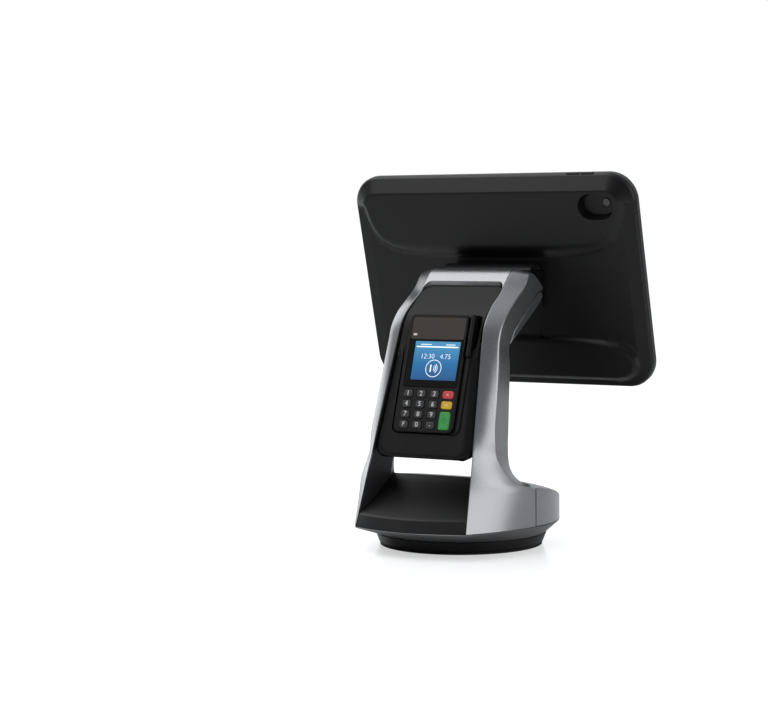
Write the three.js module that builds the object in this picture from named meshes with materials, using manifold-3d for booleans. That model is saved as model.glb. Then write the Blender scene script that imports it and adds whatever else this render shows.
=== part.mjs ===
// Counter-top card payment terminal: a swivelling silver stand that carries a
// PIN pad on the customer's side (-Y) and a tablet for the cashier (+Y).
// Millimetres, +Z up, origin at the centre of the underside.
import * as THREE from 'three';
import { mergeVertices } from 'three/addons/utils/BufferGeometryUtils.js';
import Module from 'manifold-3d';

const wasm = await Module();
wasm.setup();

// ---- driving dimensions -------------------------------------------------
const GAP = 0.3;                  // clearance between pieces that touch
const WALL = 3;                   // moulded and cast walls

// swivel foot
const FOOT_RADIUS = 71;
const DISC_RADIUS = 75;
const DISC_TOP = 10.9;
const PAD_THICKNESS = 2;
const POST_RADIUS = 6;
const GLIDE_RADIUS = 60;
const GLIDE_WIDTH = 10;
const NUT_ACROSS_CORNERS = 21;

// drum
const RIM_Z = 22.4;               // widest line of the base
const DRUM_RADIUS = 86.2;         // sides and rear of the rim
const SEAM_Y = -20.2;             // joint between the arch and the rear cap
const SEAM_TOP_Z = 54.4;          // drum wall height at that joint
const REAR_TOP_Z = 42;            // drum wall height at the rear
const CROWN = 6;                  // how far the drum's top is domed
const APRON_Y = -102.5;           // foremost point of the base
const APRON_HEIGHT = 11;
const APRON_END_LEAN = 3.6;        // the apron's ends lean back with the legs
const BALLAST_THICKNESS = 5;

// arch
const LEAN = THREE.MathUtils.degToRad(18.5);   // the legs lean back
const FOOT_HALF = 53.4;           // half the distance between the legs at the rim
const FOOT_Y = -90.5;             // front of the legs at the rim
const LEG_TAPER = 0.0772;         // the gap between the legs narrows upwards
const BEVEL_WIDTH = 13.5;         // width of a leg seen from the front
const KNEE_Z = 178;               // where the legs turn into the head
const HEAD_HALF = 54.5;           // half the head's width
const HEAD_REACH = 92;            // legs' front at the knee to the nose, along Y
const NOSE_RISE = 44.6;           // knee to nose, upwards
const FOOT_FLARE_Z = 98;          // the legs are plain above this height
const RAMP_TOP_Z = 61.7;
const RAMP_REAR_Y = -31;
const LINER = 2;

// PIN pad and its cradle, measured up the leaning face
const CRADLE_BOTTOM = 62.6;
const CRADLE_FLOOR = 3;
const CRADLE_CORNER = 10;
const BRACKET_LOW = 82.6;
const BRACKET_HEIGHT = 71.4;
const PAD_LEFT = 32;
const PAD_RIGHT = 34;
const PAD_LENGTH = 105;
const PAD_DEPTH = 20;
const PAD_PROUD = 4;              // the face stands in front of the legs
const CHIN = 20.9;                // cradle below the PIN pad
const KEY_WIDTH = 9.3;
const KEY_HEIGHT = 7.3;
const KEY_PITCH_X = 12.8;
const KEY_PITCH_Y = 9.05;
const WIDE_KEY = 11;
const KEY_TRAVEL = 1;
const SCREEN_WIDTH = 44.2;
const HEADER_HEIGHT = 23.4;
const HEADER_MARGIN = 3.4;        // PIN pad's top edge to the header strip
const CARD_WIDTH = 54;
const CARD_GAP = 1.6;             // thickness of the card slot

// tablet and its case
const TILT = THREE.MathUtils.degToRad(15.1);
const TABLET_WIDTH = 240;
const TABLET_HEIGHT = 169.5;
const SIDE_BUMPER = 20;           // case outside the tablet, left and right
const EDGE_BUMPER = 12.75;        // case outside the tablet, top and bottom
const CASE_WIDTH = TABLET_WIDTH + 2 * SIDE_BUMPER;
const CASE_HEIGHT = TABLET_HEIGHT + 2 * EDGE_BUMPER;
const CASE_CORNER = 25;
const CASE_BACK_DEPTH = 9;        // customer's side of the case
const CASE_FRONT_DEPTH = 9;       // cashier's side of the case
const GLASS_DEPTH = 1;
const HOME_RADIUS = 5.4;
const AXIS_BEHIND_NOSE = 6.4;     // tilt hinge, counted from the head's nose
const AXIS_ABOVE_NOSE = 5.4;
const AXIS_TO_CENTRE = 19.8;      // hinge axis to the tablet's middle, along Y
const PIN_RADIUS = 3;
const KNUCKLE_RADIUS = 7;
const TONGUE_HALF = 18;
const EAR_WIDTH = 12;
const COVER_RADIUS = 15;

// ---- materials ------------------------------------------------------------
const finish = (color, roughness, metalness) =>
  new THREE.MeshStandardMaterial({ color, roughness, metalness });
const silver = finish(0x9fa2a6, 0.38, 0.6);
const soft = finish(0x1b1b1c, 0.6, 0);
const black = finish(0x101011, 0.45, 0);
const rubber = finish(0x0c0c0c, 0.85, 0);
const steel = finish(0xa8a8a8, 0.35, 1);
const header = finish(0x45403d, 0.2, 0.1);
const glass = finish(0x0a0c10, 0.08, 0);
const screen = finish(0x1f74ad, 0.2, 0);
const board = finish(0x1d5a34, 0.6, 0);
const keyBlack = finish(0x2a2a2c, 0.5, 0);
const keyRed = finish(0xd0393d, 0.45, 0);
const keyYellow = finish(0xe3b818, 0.45, 0);
const keyGreen = finish(0x2d9c45, 0.45, 0);
const acetal = finish(0xe8e6de, 0.4, 0);
const tabletMetal = finish(0xb9bbbe, 0.35, 0.8);
const cell = finish(0x8d9096, 0.5, 0.1);

// ---- solid helpers ----------------------------------------------------------
function weld(geometry) {
  const bare = geometry.clone();
  bare.deleteAttribute('normal');
  bare.deleteAttribute('uv');
  return mergeVertices(bare, 1e-4);
}

function solid(geometry) {
  const welded = weld(geometry);
  return new wasm.Manifold(new wasm.Mesh({
    numProp: 3,
    vertProperties: new Float32Array(welded.attributes.position.array),
    triVerts: new Uint32Array(welded.index.array),
  }));
}

function toGeometry(manifold) {
  const mesh = manifold.getMesh();
  const geometry = new THREE.BufferGeometry();
  geometry.setAttribute('position', new THREE.BufferAttribute(mesh.vertProperties, 3));
  geometry.setIndex(new THREE.BufferAttribute(mesh.triVerts, 1));
  return geometry;
}

const assembly = new THREE.Group();

function add(name, shape, material, parent = assembly) {
  const geometry = shape.isBufferGeometry ? shape : toGeometry(shape);
  const mesh = new THREE.Mesh(geometry, material);
  mesh.name = name;
  parent.add(mesh);
  return mesh;
}

// rings of equally many points, joined in order; `loop` joins last to first,
// otherwise both ends are capped by a fan of triangles
function loft(rings, loop = false) {
  const count = rings[0].length;
  const points = rings.flat();
  const faces = [];
  const last = loop ? rings.length : rings.length - 1;
  for (let i = 0; i < last; i++) {
    const a = i * count;
    const b = ((i + 1) % rings.length) * count;
    for (let j = 0; j < count; j++) {
      const k = (j + 1) % count;
      faces.push(a + j, a + k, b + k, a + j, b + k, b + j);
    }
  }
  if (!loop) {
    const end = (rings.length - 1) * count;
    for (let j = 1; j < count - 1; j++) {
      faces.push(0, j + 1, j, end, end + j, end + j + 1);
    }
  }
  return solid(outward(points, faces));
}

function outward(points, faces) {
  let volume = 0;
  for (let i = 0; i < faces.length; i += 3) {
    const [a, b, c] = [0, 1, 2].map((n) => new THREE.Vector3(...points[faces[i + n]]));
    volume += a.dot(b.cross(c));
  }
  const order = volume < 0 ? faces.slice().reverse() : faces;
  const geometry = new THREE.BufferGeometry();
  geometry.setAttribute('position', new THREE.Float32BufferAttribute(points.flat(), 3));
  geometry.setIndex(order);
  return geometry;
}

// a block under a surface given on a grid of rows, down to `floor`
function blockUnder(rows, floor) {
  return loft(rows.map((row) => [
    ...row,
    [row.at(-1)[0], row.at(-1)[1], floor],
    [row[0][0], row[0][1], floor],
  ]));
}

function outlineShape(points) {
  return new THREE.Shape(points.map(([x, y]) => new THREE.Vector2(x, y)));
}

function slab(points, z0, z1) {
  const geometry = new THREE.ExtrudeGeometry(outlineShape(points),
    { depth: z1 - z0, bevelEnabled: false, steps: 1 });
  return solid(geometry.translate(0, 0, z0));
}

// a (y, z) outline extruded along X
function barX(points, x0, x1) {
  const turn = new THREE.Matrix4().makeBasis(
    new THREE.Vector3(0, 1, 0), new THREE.Vector3(0, 0, 1), new THREE.Vector3(1, 0, 0));
  const geometry = new THREE.ExtrudeGeometry(outlineShape(points),
    { depth: x1 - x0, bevelEnabled: false, steps: 1 });
  return solid(geometry.applyMatrix4(turn).translate(x0, 0, 0));
}

function roundedRect(x0, x1, y0, y1, radius, steps = 3) {
  const points = [];
  const corners = [[x1, y1, 0], [x0, y1, 1], [x0, y0, 2], [x1, y0, 3]];
  for (const [x, y, quarter] of corners) {
    const cx = x === x1 ? x - radius : x + radius;
    const cy = y === y1 ? y - radius : y + radius;
    for (let i = 0; i <= steps; i++) {
      const angle = (quarter + i / steps) * Math.PI / 2;
      points.push([cx + radius * Math.cos(angle), cy + radius * Math.sin(angle)]);
    }
  }
  return points;
}

function box(x0, x1, y0, y1, z0, z1) {
  const geometry = new THREE.BoxGeometry(x1 - x0, y1 - y0, z1 - z0);
  return solid(geometry.translate((x0 + x1) / 2, (y0 + y1) / 2, (z0 + z1) / 2));
}

function lathe(profile, segments = 32) {
  const points = profile.map(([r, z]) => new THREE.Vector2(r, z));
  return solid(new THREE.LatheGeometry(points, segments).rotateX(Math.PI / 2));
}

function rod(radius, x0, x1, y, z, segments = 16) {
  const geometry = new THREE.CylinderGeometry(radius, radius, x1 - x0, segments);
  return solid(geometry.rotateZ(Math.PI / 2).translate((x0 + x1) / 2, y, z));
}

const mirrorX = (shape) => shape.mirror([1, 0, 0]);
const mix = (a, b, t) => a + (b - a) * t;

// ---- shared outlines ----------------------------------------------------------
const legGap = (z) => FOOT_HALF - LEG_TAPER * (z - RIM_Z);
const legFront = (z) => FOOT_Y + Math.tan(LEAN) * (z - RIM_Z);
const SEAM_X = Math.sqrt(DRUM_RADIUS ** 2 - SEAM_Y ** 2);
const SIDE_POINTS = 3;            // points between a leg's two front edges
const SIDE_BULGE = 4.3;

// points across the leg's front, from its inner edge to its outer crease
function acrossFront(inner, outer, bulge) {
  const dx = outer[0] - inner[0];
  const dy = outer[1] - inner[1];
  const length = Math.hypot(dx, dy);
  const points = [];
  for (let i = 0; i <= SIDE_POINTS + 1; i++) {
    const t = i / (SIDE_POINTS + 1);
    const out = bulge * Math.sin(Math.PI * t);
    points.push([
      mix(inner[0], outer[0], t) + out * dy / length,
      mix(inner[1], outer[1], t) - out * dx / length,
      mix(inner[2], outer[2], t),
    ]);
  }
  return points;
}

// height of the apron's front edge over the plan, and the whole rim outline
function apronY(x) {
  const rise = FOOT_Y - APRON_Y;
  const radius = (FOOT_HALF ** 2 + rise ** 2) / (2 * rise);
  return APRON_Y + radius - Math.sqrt(radius ** 2 - x ** 2);
}

function rimOutline(inset = 0) {
  const half = [];
  const frontSteps = 5;
  for (let i = 0; i < frontSteps; i++) {
    const x = FOOT_HALF * i / frontSteps;
    half.push([x, apronY(x)]);
  }
  const side = acrossFront([FOOT_HALF, FOOT_Y, 0], [SEAM_X, SEAM_Y, 0], SIDE_BULGE);
  half.push(...side.map(([x, y]) => [x, y]));
  const start = Math.atan2(SEAM_Y, SEAM_X);
  const rearSteps = 11;
  for (let i = 1; i <= rearSteps; i++) {
    const angle = mix(start, Math.PI / 2, i / rearSteps);
    half.push([DRUM_RADIUS * Math.cos(angle), DRUM_RADIUS * Math.sin(angle)]);
  }
  const other = half.slice(1, -1).reverse().map(([x, y]) => [-x, y]);
  return [...half, ...other].map(([x, y]) => {
    const shrink = 1 - inset / Math.hypot(x, y);
    return [x * shrink, y * shrink];
  });
}

// ---- swivel foot ----------------------------------------------------------------
const GLIDE_Z = DISC_TOP - 1.5;
const TRAY_FLOOR_Z = DISC_TOP + GAP + 3;
const POST_TOP_Z = TRAY_FLOOR_Z + 12;

function footPad() {
  return lathe([[0, 0], [FOOT_RADIUS - 1, 0], [FOOT_RADIUS, PAD_THICKNESS], [0, PAD_THICKNESS]]);
}

function turntableBase() {
  const bottom = PAD_THICKNESS + GAP;
  const floor = bottom + WALL;
  const glideIn = GLIDE_RADIUS - GLIDE_WIDTH / 2 - GAP;
  const glideOut = GLIDE_RADIUS + GLIDE_WIDTH / 2 + GAP;
  return lathe([
    [POST_RADIUS + GAP, bottom], [FOOT_RADIUS + 0.5, bottom], [DISC_RADIUS, DISC_TOP],
    [glideOut, DISC_TOP], [glideOut, GLIDE_Z], [glideIn, GLIDE_Z], [glideIn - WALL, DISC_TOP],
    [glideIn - 2 * WALL, floor], [POST_RADIUS + 12, floor], [POST_RADIUS + 10, DISC_TOP],
    [POST_RADIUS + GAP, DISC_TOP], [POST_RADIUS + GAP, bottom],
  ]);
}

function glideRing() {
  const inside = GLIDE_RADIUS - GLIDE_WIDTH / 2;
  const outside = GLIDE_RADIUS + GLIDE_WIDTH / 2;
  const low = GLIDE_Z + GAP;
  const high = DISC_TOP;
  return lathe([[inside, low], [outside, low], [outside, high], [inside, high], [inside, low]]);
}

function pivotPost() {
  const low = PAD_THICKNESS + GAP;
  return lathe([[0, low], [POST_RADIUS, low], [POST_RADIUS, POST_TOP_Z],
    [POST_RADIUS - 1, POST_TOP_Z + 1], [0, POST_TOP_Z + 1]], 16);
}

function pivotWasher() {
  const low = TRAY_FLOOR_Z + GAP;
  const hole = POST_RADIUS + GAP;
  return lathe([[hole, low], [hole + 9, low], [hole + 9, low + 2], [hole, low + 2], [hole, low]], 20);
}

function pivotNut() {
  const low = TRAY_FLOOR_Z + 2 + 2 * GAP;
  const nut = new THREE.CylinderGeometry(NUT_ACROSS_CORNERS / 2, NUT_ACROSS_CORNERS / 2, 6, 6);
  const hole = new THREE.CylinderGeometry(POST_RADIUS + GAP, POST_RADIUS + GAP, 20, 24);
  return solid(nut.rotateX(Math.PI / 2).translate(0, 0, low + 3))
    .subtract(solid(hole.rotateX(Math.PI / 2).translate(0, 0, low)));
}

add('foot_pad', footPad(), rubber);
add('turntable_base', turntableBase(), black);
add('glide_ring', glideRing(), acetal);
add('pivot_post', pivotPost(), steel);
add('pivot_washer', pivotWasher(), acetal);
add('pivot_nut', pivotNut(), steel);

// ---- base tray, ballast, rear cap ---------------------------------------------------
function baseTray() {
  const low = DISC_TOP + GAP;
  const rim = RIM_Z - GAP;
  const outline = rimOutline();
  const circle = (radius, z) => outline.map(([x, y]) => {
    const k = radius / Math.hypot(x, y);
    return [x * k, y * k, z];
  });
  const hole = POST_RADIUS + GAP;
  return loft([
    circle(DISC_RADIUS, low),
    outline.map(([x, y]) => [x, y, rim]),
    rimOutline(WALL).map(([x, y]) => [x, y, rim]),
    circle(DISC_RADIUS - WALL, TRAY_FLOOR_Z),
    circle(hole, TRAY_FLOOR_Z),
    circle(hole, low),
  ], true);
}

function ballastPlate() {
  const low = TRAY_FLOOR_Z + GAP;
  const outside = DISC_RADIUS - WALL - 2;
  const inside = POST_RADIUS + 14;
  const high = low + BALLAST_THICKNESS;
  return lathe([[inside, low], [outside, low], [outside, high], [inside, high], [inside, low]]);
}

// wall height falls from the seam to the rear in a soft curve
function drumEdgeZ(y) {
  const run = 78;
  const t = Math.min(Math.max((y - SEAM_Y) / run, 0), 1);
  return REAR_TOP_Z + (SEAM_TOP_Z - REAR_TOP_Z) * Math.cos(t * Math.PI / 2) ** 2;
}

function drumTop(inset, drop) {
  const reach = DRUM_RADIUS + 4;
  const steps = 8;
  const rows = [];
  for (let i = 0; i <= steps; i++) {
    const y = mix(SEAM_Y + GAP + inset, reach, i / steps);
    const row = [];
    for (let j = 0; j <= steps; j++) {
      const x = mix(-reach, reach, j / steps);
      const r = Math.min(Math.hypot(x, y) / DRUM_RADIUS, 1);
      row.push([x, y, drumEdgeZ(y) + CROWN * (1 - r ** 4) - drop]);
    }
    rows.push(row);
  }
  return rows;
}

function rearCap() {
  const outer = blockUnder(drumTop(0, 0), RIM_Z)
    .intersect(slab(rimOutline(), RIM_Z - 5, 90));
  const inner = blockUnder(drumTop(-10, WALL), RIM_Z - 5)
    .intersect(slab(rimOutline(WALL), RIM_Z - 5, 90));
  return outer.subtract(inner);
}

add('base_tray', baseTray(), silver);
add('ballast_plate', ballastPlate(), steel);
add('base_rear_cap', rearCap(), silver);

// ---- arch: two legs and the head -------------------------------------------------------
const KNEE_FRONT_Y = legFront(KNEE_Z);
const PANEL_HALF = legGap(KNEE_Z) - 2.2;
const NOSE_Y = KNEE_FRONT_Y + HEAD_REACH;
const NOSE_Z = KNEE_Z + NOSE_RISE;
const AXIS_Y = NOSE_Y + AXIS_BEHIND_NOSE;
const AXIS_Z = NOSE_Z + AXIS_ABOVE_NOSE;

// plain leg, before it flares into the drum: the bevel gets shallower and the
// leg thinner towards the knee
const CREASE_DEPTH = 14.6;
const CREASE_SLOPE = 0.08;
const REAR_DEPTH = 38.7;
const REAR_SLOPE = 0.209;
const aboveFlare = (z) => z - FOOT_FLARE_Z;
const legCrease = (z) => [legGap(z) + BEVEL_WIDTH,
  legFront(z) + CREASE_DEPTH - CREASE_SLOPE * aboveFlare(z), z];
const legRear = (z) => [legGap(z) + BEVEL_WIDTH,
  legFront(FOOT_FLARE_Z) + REAR_DEPTH + REAR_SLOPE * aboveFlare(z), z];
const seamPoint = [SEAM_X, SEAM_Y + 0.7, SEAM_TOP_Z];

// the crease's points keep their share of the way from the leg to the seam
const LEG_X = 61;
const SEAM_HALF = 83.8;
const flareX = (x) => mix(legCrease(FOOT_FLARE_Z)[0], SEAM_X, (x - LEG_X) / (SEAM_HALF - LEG_X));

const blend = (a, b, tx, ty) => [mix(a[0], b[0], tx), mix(a[1], b[1], ty), a[2]];

// one section: inner front edge, bulged front, crease, rear edge, inner rear
function section(front, crease, rear, bulge) {
  const inner = [front[0], rear[1], rear[2]];
  return [...acrossFront(front, crease, bulge), rear, inner];
}

function plainHeights() {
  return [0, 0.42, 0.77].map((t) => mix(FOOT_FLARE_Z, KNEE_Z, t));
}

function legSections() {
  const front = (z) => [legGap(z), legFront(z), z];
  const wallSection = (z, creaseZ, rise) => section(front(z), [SEAM_X, SEAM_Y, creaseZ],
    [SEAM_X - 2 * WALL, SEAM_Y, creaseZ + rise], SIDE_BULGE);
  // height of the front edge, the crease's point, height of the rear edge and
  // how far it has flared, then the bulge
  const flare = [
    [57, [81.5, -26.4, 56.1], 58.2, 0.80, 0.80, 3.9],
    [61, [78.1, -34.1, 58.4], 60.8, 0.50, 0.45, 3.4],
    [66, [74.1, -40.5, 62.1], 66.0, 0.24, 0.22, 2.8],
    [72, [70.0, -45.1, 68.2], 73.0, 0.08, 0.08, 2.1],
    [79, [65.8, -48.0, 75.5], 80.5, 0.02, 0.02, 1.5],
    [86, [62.8, -49.9, 82.1], 88.0, 0.0, 0.0, 1.1],
  ];
  const flared = flare.map(([z, [x, y, creaseZ], rearZ, rx, ry, bulge]) => section(front(z),
    [flareX(x), y, creaseZ], blend(legRear(rearZ), seamPoint, rx, ry), bulge));
  const straight = plainHeights().map((z) => section(front(z), legCrease(z), legRear(z), 0.8));
  const middle = (RIM_Z + SEAM_TOP_Z) / 2;
  return [wallSection(RIM_Z, RIM_Z, 0), wallSection(middle, middle, 0),
    wallSection(SEAM_TOP_Z - 2.4, SEAM_TOP_Z, 0.8), ...flared, ...straight];
}

// the head's sections run back from the knee to the nose; Y is counted from
// the legs' front at the knee, and Z from the knee
function headSections() {
  const y0 = KNEE_FRONT_Y;
  const z0 = KNEE_Z;
  const rows = [
    // front edge (x, y, z), crease (y, z), rear edge (y, z)
    [legGap(KNEE_Z), 0, 0, 8.2, 0.5, 27.4, -4.5],
    [legGap(KNEE_Z) - 0.8, 5.4, 13.7, 13.7, 13.5, 35.7, 9.6],
    [legGap(KNEE_Z) - 1.0, 11.5, 22, 22.5, 23.3, 44, 15.1],
    [PANEL_HALF + 0.4, 23.3, 31.8, 36.4, 33, 54, 21.7],
    [PANEL_HALF, 36.5, 39.9, 51.1, 42, 64, 28.4],
    [PANEL_HALF, 68.4, 60.9, 71.5, 57.4, 74.4, 35.3],
    [PANEL_HALF, 81, 53.7, 81, 52.6, 82.9, 40.9],
    [PANEL_HALF, 91.6, 45.2, 91.8, 44.6, 89.5, 41.4],
  ];
  return rows.map(([x, fy, fz, cy, cz, ry, rz]) => section([x, y0 + fy, z0 + fz],
    [HEAD_HALF, y0 + cy, z0 + cz], [HEAD_HALF, y0 + ry, z0 + rz], 0.6));
}

// the same sections drawn in by the wall and opened on the inner side
const WALL_PULL = WALL * 1.5;

function hollow(sections) {
  return sections.map((points) => {
    const count = points.length;
    const sum = points.reduce((acc, p) => [acc[0] + p[0], acc[1] + p[1], acc[2] + p[2]], [0, 0, 0]);
    const centre = sum.map((value) => value / count);
    return points.map((p, index) => {
      const away = [p[0] - centre[0], p[1] - centre[1], p[2] - centre[2]];
      const length = Math.hypot(...away);
      const pull = Math.min(WALL_PULL / length, 0.6);
      const moved = p.map((value, axis) => value - away[axis] * pull);
      const isInner = index === 0 || index === count - 1;
      return isInner ? [p[0] - 6, moved[1], moved[2]] : moved;
    });
  });
}

function crossbar() {
  const y0 = KNEE_FRONT_Y;
  const outer = [[49, 48.4], [68.4, 60.9], [71.5, 59.7], [81, 53.1], [HEAD_REACH, NOSE_RISE],
    [90.5, 38.8], [86, 38.5], [87, 43], [78, 49.5], [69.5, 55], [49.9, 43.8]];
  const outline = outer.map(([y, z]) => [y0 + y, KNEE_Z + z]);
  const bar = barX(outline, -PANEL_HALF - 2, PANEL_HALF + 2);
  const slot = box(-TONGUE_HALF - 1, TONGUE_HALF + 1, NOSE_Y - 18, NOSE_Y + 8, AXIS_Z - 14,
    AXIS_Z + 9);
  return bar.subtract(slot);
}

function standArch() {
  const sections = [...legSections(), ...headSections()];
  const cavity = hollow(sections);
  cavity.unshift(cavity[0].map(([x, y, z]) => [x, y, z - WALL - 4]));
  const leg = loft(sections).subtract(loft(cavity));
  return leg.add(mirrorX(leg)).add(crossbar());
}

add('stand_arch', standArch(), silver);

// ---- black ramp between the legs ----------------------------------------------------------
const rampRearZ = RAMP_TOP_Z - 1.2;

// ruled surface from the curved front edge up to the straight rear edge
function rampRows(inset, drop) {
  const frontZ = RIM_Z + APRON_HEIGHT;
  const steps = 8;
  const half = (z) => legGap(z) - GAP - inset;
  const rows = [[], [], [], []];
  for (let i = 0; i <= steps; i++) {
    const u = mix(-1, 1, i / steps);
    const foot = u * half(RIM_Z);
    rows[0].push([foot, apronY(foot) + inset + 0.01, RIM_Z - drop]);
    rows[1].push([u * half(frontZ), apronY(foot) + inset + APRON_END_LEAN * u * u, frontZ - drop]);
    rows[2].push([u * half(RAMP_TOP_Z), RAMP_REAR_Y, RAMP_TOP_Z - drop]);
    rows[3].push([u * half(rampRearZ), SEAM_Y - GAP + (inset > 0 ? 5 : 0), rampRearZ - drop]);
  }
  return rows;
}

function rampTray() {
  const outer = blockUnder(rampRows(0, 0), RIM_Z - 5);
  const inner = blockUnder(rampRows(WALL, WALL), RIM_Z - 9);
  const floor = box(-200, 200, -200, 200, RIM_Z - 20, RIM_Z);
  return outer.subtract(inner).subtract(floor);
}

// ---- black liners that close the legs' open inner sides ---------------------------------------
function legLiner() {
  const plate = (z) => {
    const x0 = legGap(z) + GAP;
    const front = legFront(z) + WALL_PULL + 5;
    const rear = legRear(z)[1] - WALL_PULL - 1.5;
    return [[x0, front, z], [x0 + LINER, front, z], [x0 + LINER, rear, z], [x0, rear, z]];
  };
  return loft([RAMP_TOP_Z + 12, KNEE_Z - 2 * WALL].map(plate));
}

add('ramp_tray', rampTray(), soft);
add('liner_right', legLiner(), soft);
add('liner_left', mirrorX(legLiner()), soft);

// ---- rear cover: neck plate between the legs and the head's underside ----------------------------
const COVER_THICKNESS = 2.2;

function rearCover() {
  const y0 = KNEE_FRONT_Y;
  const neck = [RAMP_TOP_Z + 24, ...plainHeights(), KNEE_Z - 1].map((z) => {
    const half = legGap(z) - 3 * GAP;
    const rear = legRear(z)[1] - 1.5;
    const front = rear - COVER_THICKNESS;
    return [[-half, rear, z], [half, rear, z], [half, front, z], [-half, front, z]];
  });
  // the neck plate runs on into the head's underside
  const half = legGap(KNEE_Z) - 1.5;
  neck.push([[-half, y0 + 34, KNEE_Z + 2], [half, y0 + 34, KNEE_Z + 2],
    [half, y0 + 31, KNEE_Z + 4.5], [-half, y0 + 31, KNEE_Z + 4.5]]);
  // outer edge below, joint with the arch above; Y counted as in the head
  const under = [
    [28.6, -2.7, 36.4, 9.1], [45.1, 6.4, 54.4, 21.3],
    [80.4, 27.2, 75.0, 34.9], [89, 33.3, 83.2, 40.2],
  ].map(([lowY, lowZ, highY, highZ]) => {
    const wide = HEAD_HALF - 0.2;
    const low = KNEE_Z + lowZ;
    const high = KNEE_Z + highZ - GAP;
    return [[-wide, y0 + lowY, low], [wide, y0 + lowY, low],
      [wide, y0 + highY + GAP, high], [-wide, y0 + highY + GAP, high]];
  });
  return loft(neck).add(loft(under));
}

// ---- pieces measured up the leaning face: X across, Y up the slope, Z towards the customer ---------
const face = new THREE.Group();
face.position.set(0, FOOT_Y, RIM_Z);
face.rotation.x = Math.PI / 2 - LEAN;
assembly.add(face);

const SLOPE = Math.cos(LEAN);
const rimHalf = (q) => legGap(RIM_Z + q * SLOPE) - 2;
const PAD_BOTTOM = CRADLE_BOTTOM + CHIN;
const PAD_TOP = PAD_BOTTOM + PAD_LENGTH;
const PAD_BACK = PAD_PROUD - PAD_DEPTH;
const PAD_CORNER = 6;
const CRADLE_TOP = (KNEE_Z - RIM_Z) / SLOPE + 1.9;

function padEnvelope(gap, top) {
  return slab(roundedRect(-PAD_LEFT - gap, PAD_RIGHT + gap, PAD_BOTTOM - gap, top, PAD_CORNER, 2),
    PAD_BACK - gap, PAD_PROUD + 10);
}

function cradle() {
  const low = rimHalf(CRADLE_BOTTOM);
  const high = rimHalf(CRADLE_TOP);
  const corner = [];
  for (let i = 0; i <= 3; i++) {
    const angle = i / 3 * Math.PI / 2;
    corner.push([low - CRADLE_CORNER * (1 - Math.sin(angle)),
      CRADLE_BOTTOM + CRADLE_CORNER * (1 - Math.cos(angle))]);
  }
  const right = [...corner, [high, CRADLE_TOP]];
  const left = right.slice().reverse().map(([x, q]) => [-x, q]);
  const body = slab([...right, ...left], PAD_BACK - GAP - CRADLE_FLOOR, 0);
  // the underside rises towards the back
  const lowBack = barX([[CRADLE_BOTTOM - 2, -3], [CRADLE_BOTTOM - 2, PAD_BACK - 20],
    [CRADLE_BOTTOM + CHIN - 1, PAD_BACK - 20], [CRADLE_BOTTOM + CHIN - 1, PAD_BACK - CRADLE_FLOOR]],
  -100, 100);
  return body.subtract(padEnvelope(GAP, CRADLE_TOP + 20)).subtract(lowBack);
}

function cradleBracket() {
  const half = rimHalf(CRADLE_TOP) - 1;
  const front = PAD_BACK - CRADLE_FLOOR - 2 * GAP;
  const high = BRACKET_LOW + BRACKET_HEIGHT;
  const plate = slab(roundedRect(-half, half, BRACKET_LOW, high, 5, 2), front - 2, front);
  return plate.subtract(box(-15, 15, BRACKET_LOW + 20, high - 23, front - 5, front + 5));
}

// recessed panel from the cradle's top up to the head's opening; it is cut
// around the PIN pad
function upperPanel() {
  const front = [[3.5, 3], [12.4, 21], [27.4, 32.5], [47, 45.8]]
    .map(([y, z]) => [KNEE_FRONT_Y + y, KNEE_Z + z]);
  const back = front.map(([y, z]) => [y + 1.6, z - 2.4]).reverse();
  const plate = barX([...front, ...back], -PANEL_HALF + 0.4, PANEL_HALF - 0.4);
  const turned = solid(toGeometry(padEnvelope(1, PAD_TOP + 1)).applyMatrix4(faceMatrix()));
  return plate.subtract(turned);
}

function faceMatrix() {
  face.updateMatrix();
  return face.matrix;
}

add('rear_cover', rearCover(), soft);
add('cradle', cradle(), soft, face);
add('cradle_bracket', cradleBracket(), steel, face);
add('upper_panel', upperPanel(), soft);

// ---- PIN pad ------------------------------------------------------------------------------------------
const SKIN = 2;
const BEZEL_BACK = -0.7;
const BEZEL_TOP = PAD_PROUD - SKIN;
const FACE_LEFT = -27;
const FACE_RIGHT = 28;
const KEY_FIELD = 33.6;           // bottom of the PIN pad to the top row's middle
const ROW_TOP = PAD_BOTTOM + KEY_FIELD;
const LENS_TOP = PAD_TOP - HEADER_HEIGHT;
const LENS_BOTTOM = ROW_TOP + KEY_HEIGHT / 2 + 2.25;
const SCREEN_X = 2;
const GROOVE = [28.6, 31.4];
const GROOVE_BOTTOM = PAD_TOP - 39;
const KEY_TOP = PAD_PROUD + 1.2;
const KEY_FOOT = 1;
const SLOT_Z = -7;
const SLOT_X = 1;

// digit keys in three columns, function keys in the fourth
const keys = [];
const columnX = (column) => -19 + column * KEY_PITCH_X;
const rowY = (row) => ROW_TOP - row * KEY_PITCH_Y;
const faces = ['1', '2', '3', '4', '5', '6', '7', '8', '9', 'function', '0', 'point'];
faces.forEach((label, index) => keys.push({
  name: `key_${label}`, x: columnX(index % 3), y: rowY(Math.floor(index / 3)),
  width: KEY_WIDTH, height: KEY_HEIGHT, material: keyBlack,
}));
keys.push({ name: 'key_cancel', x: columnX(3) + 0.2, y: rowY(0), width: WIDE_KEY,
  height: KEY_HEIGHT + 0.4, material: keyRed });
keys.push({ name: 'key_clear', x: columnX(3) + 0.2, y: rowY(1), width: WIDE_KEY,
  height: KEY_HEIGHT + 0.4, material: keyYellow });
keys.push({ name: 'key_enter', x: columnX(3) + 0.2, y: (rowY(2) + rowY(3)) / 2, width: WIDE_KEY,
  height: KEY_HEIGHT + KEY_PITCH_Y + 0.4, material: keyGreen });

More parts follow.
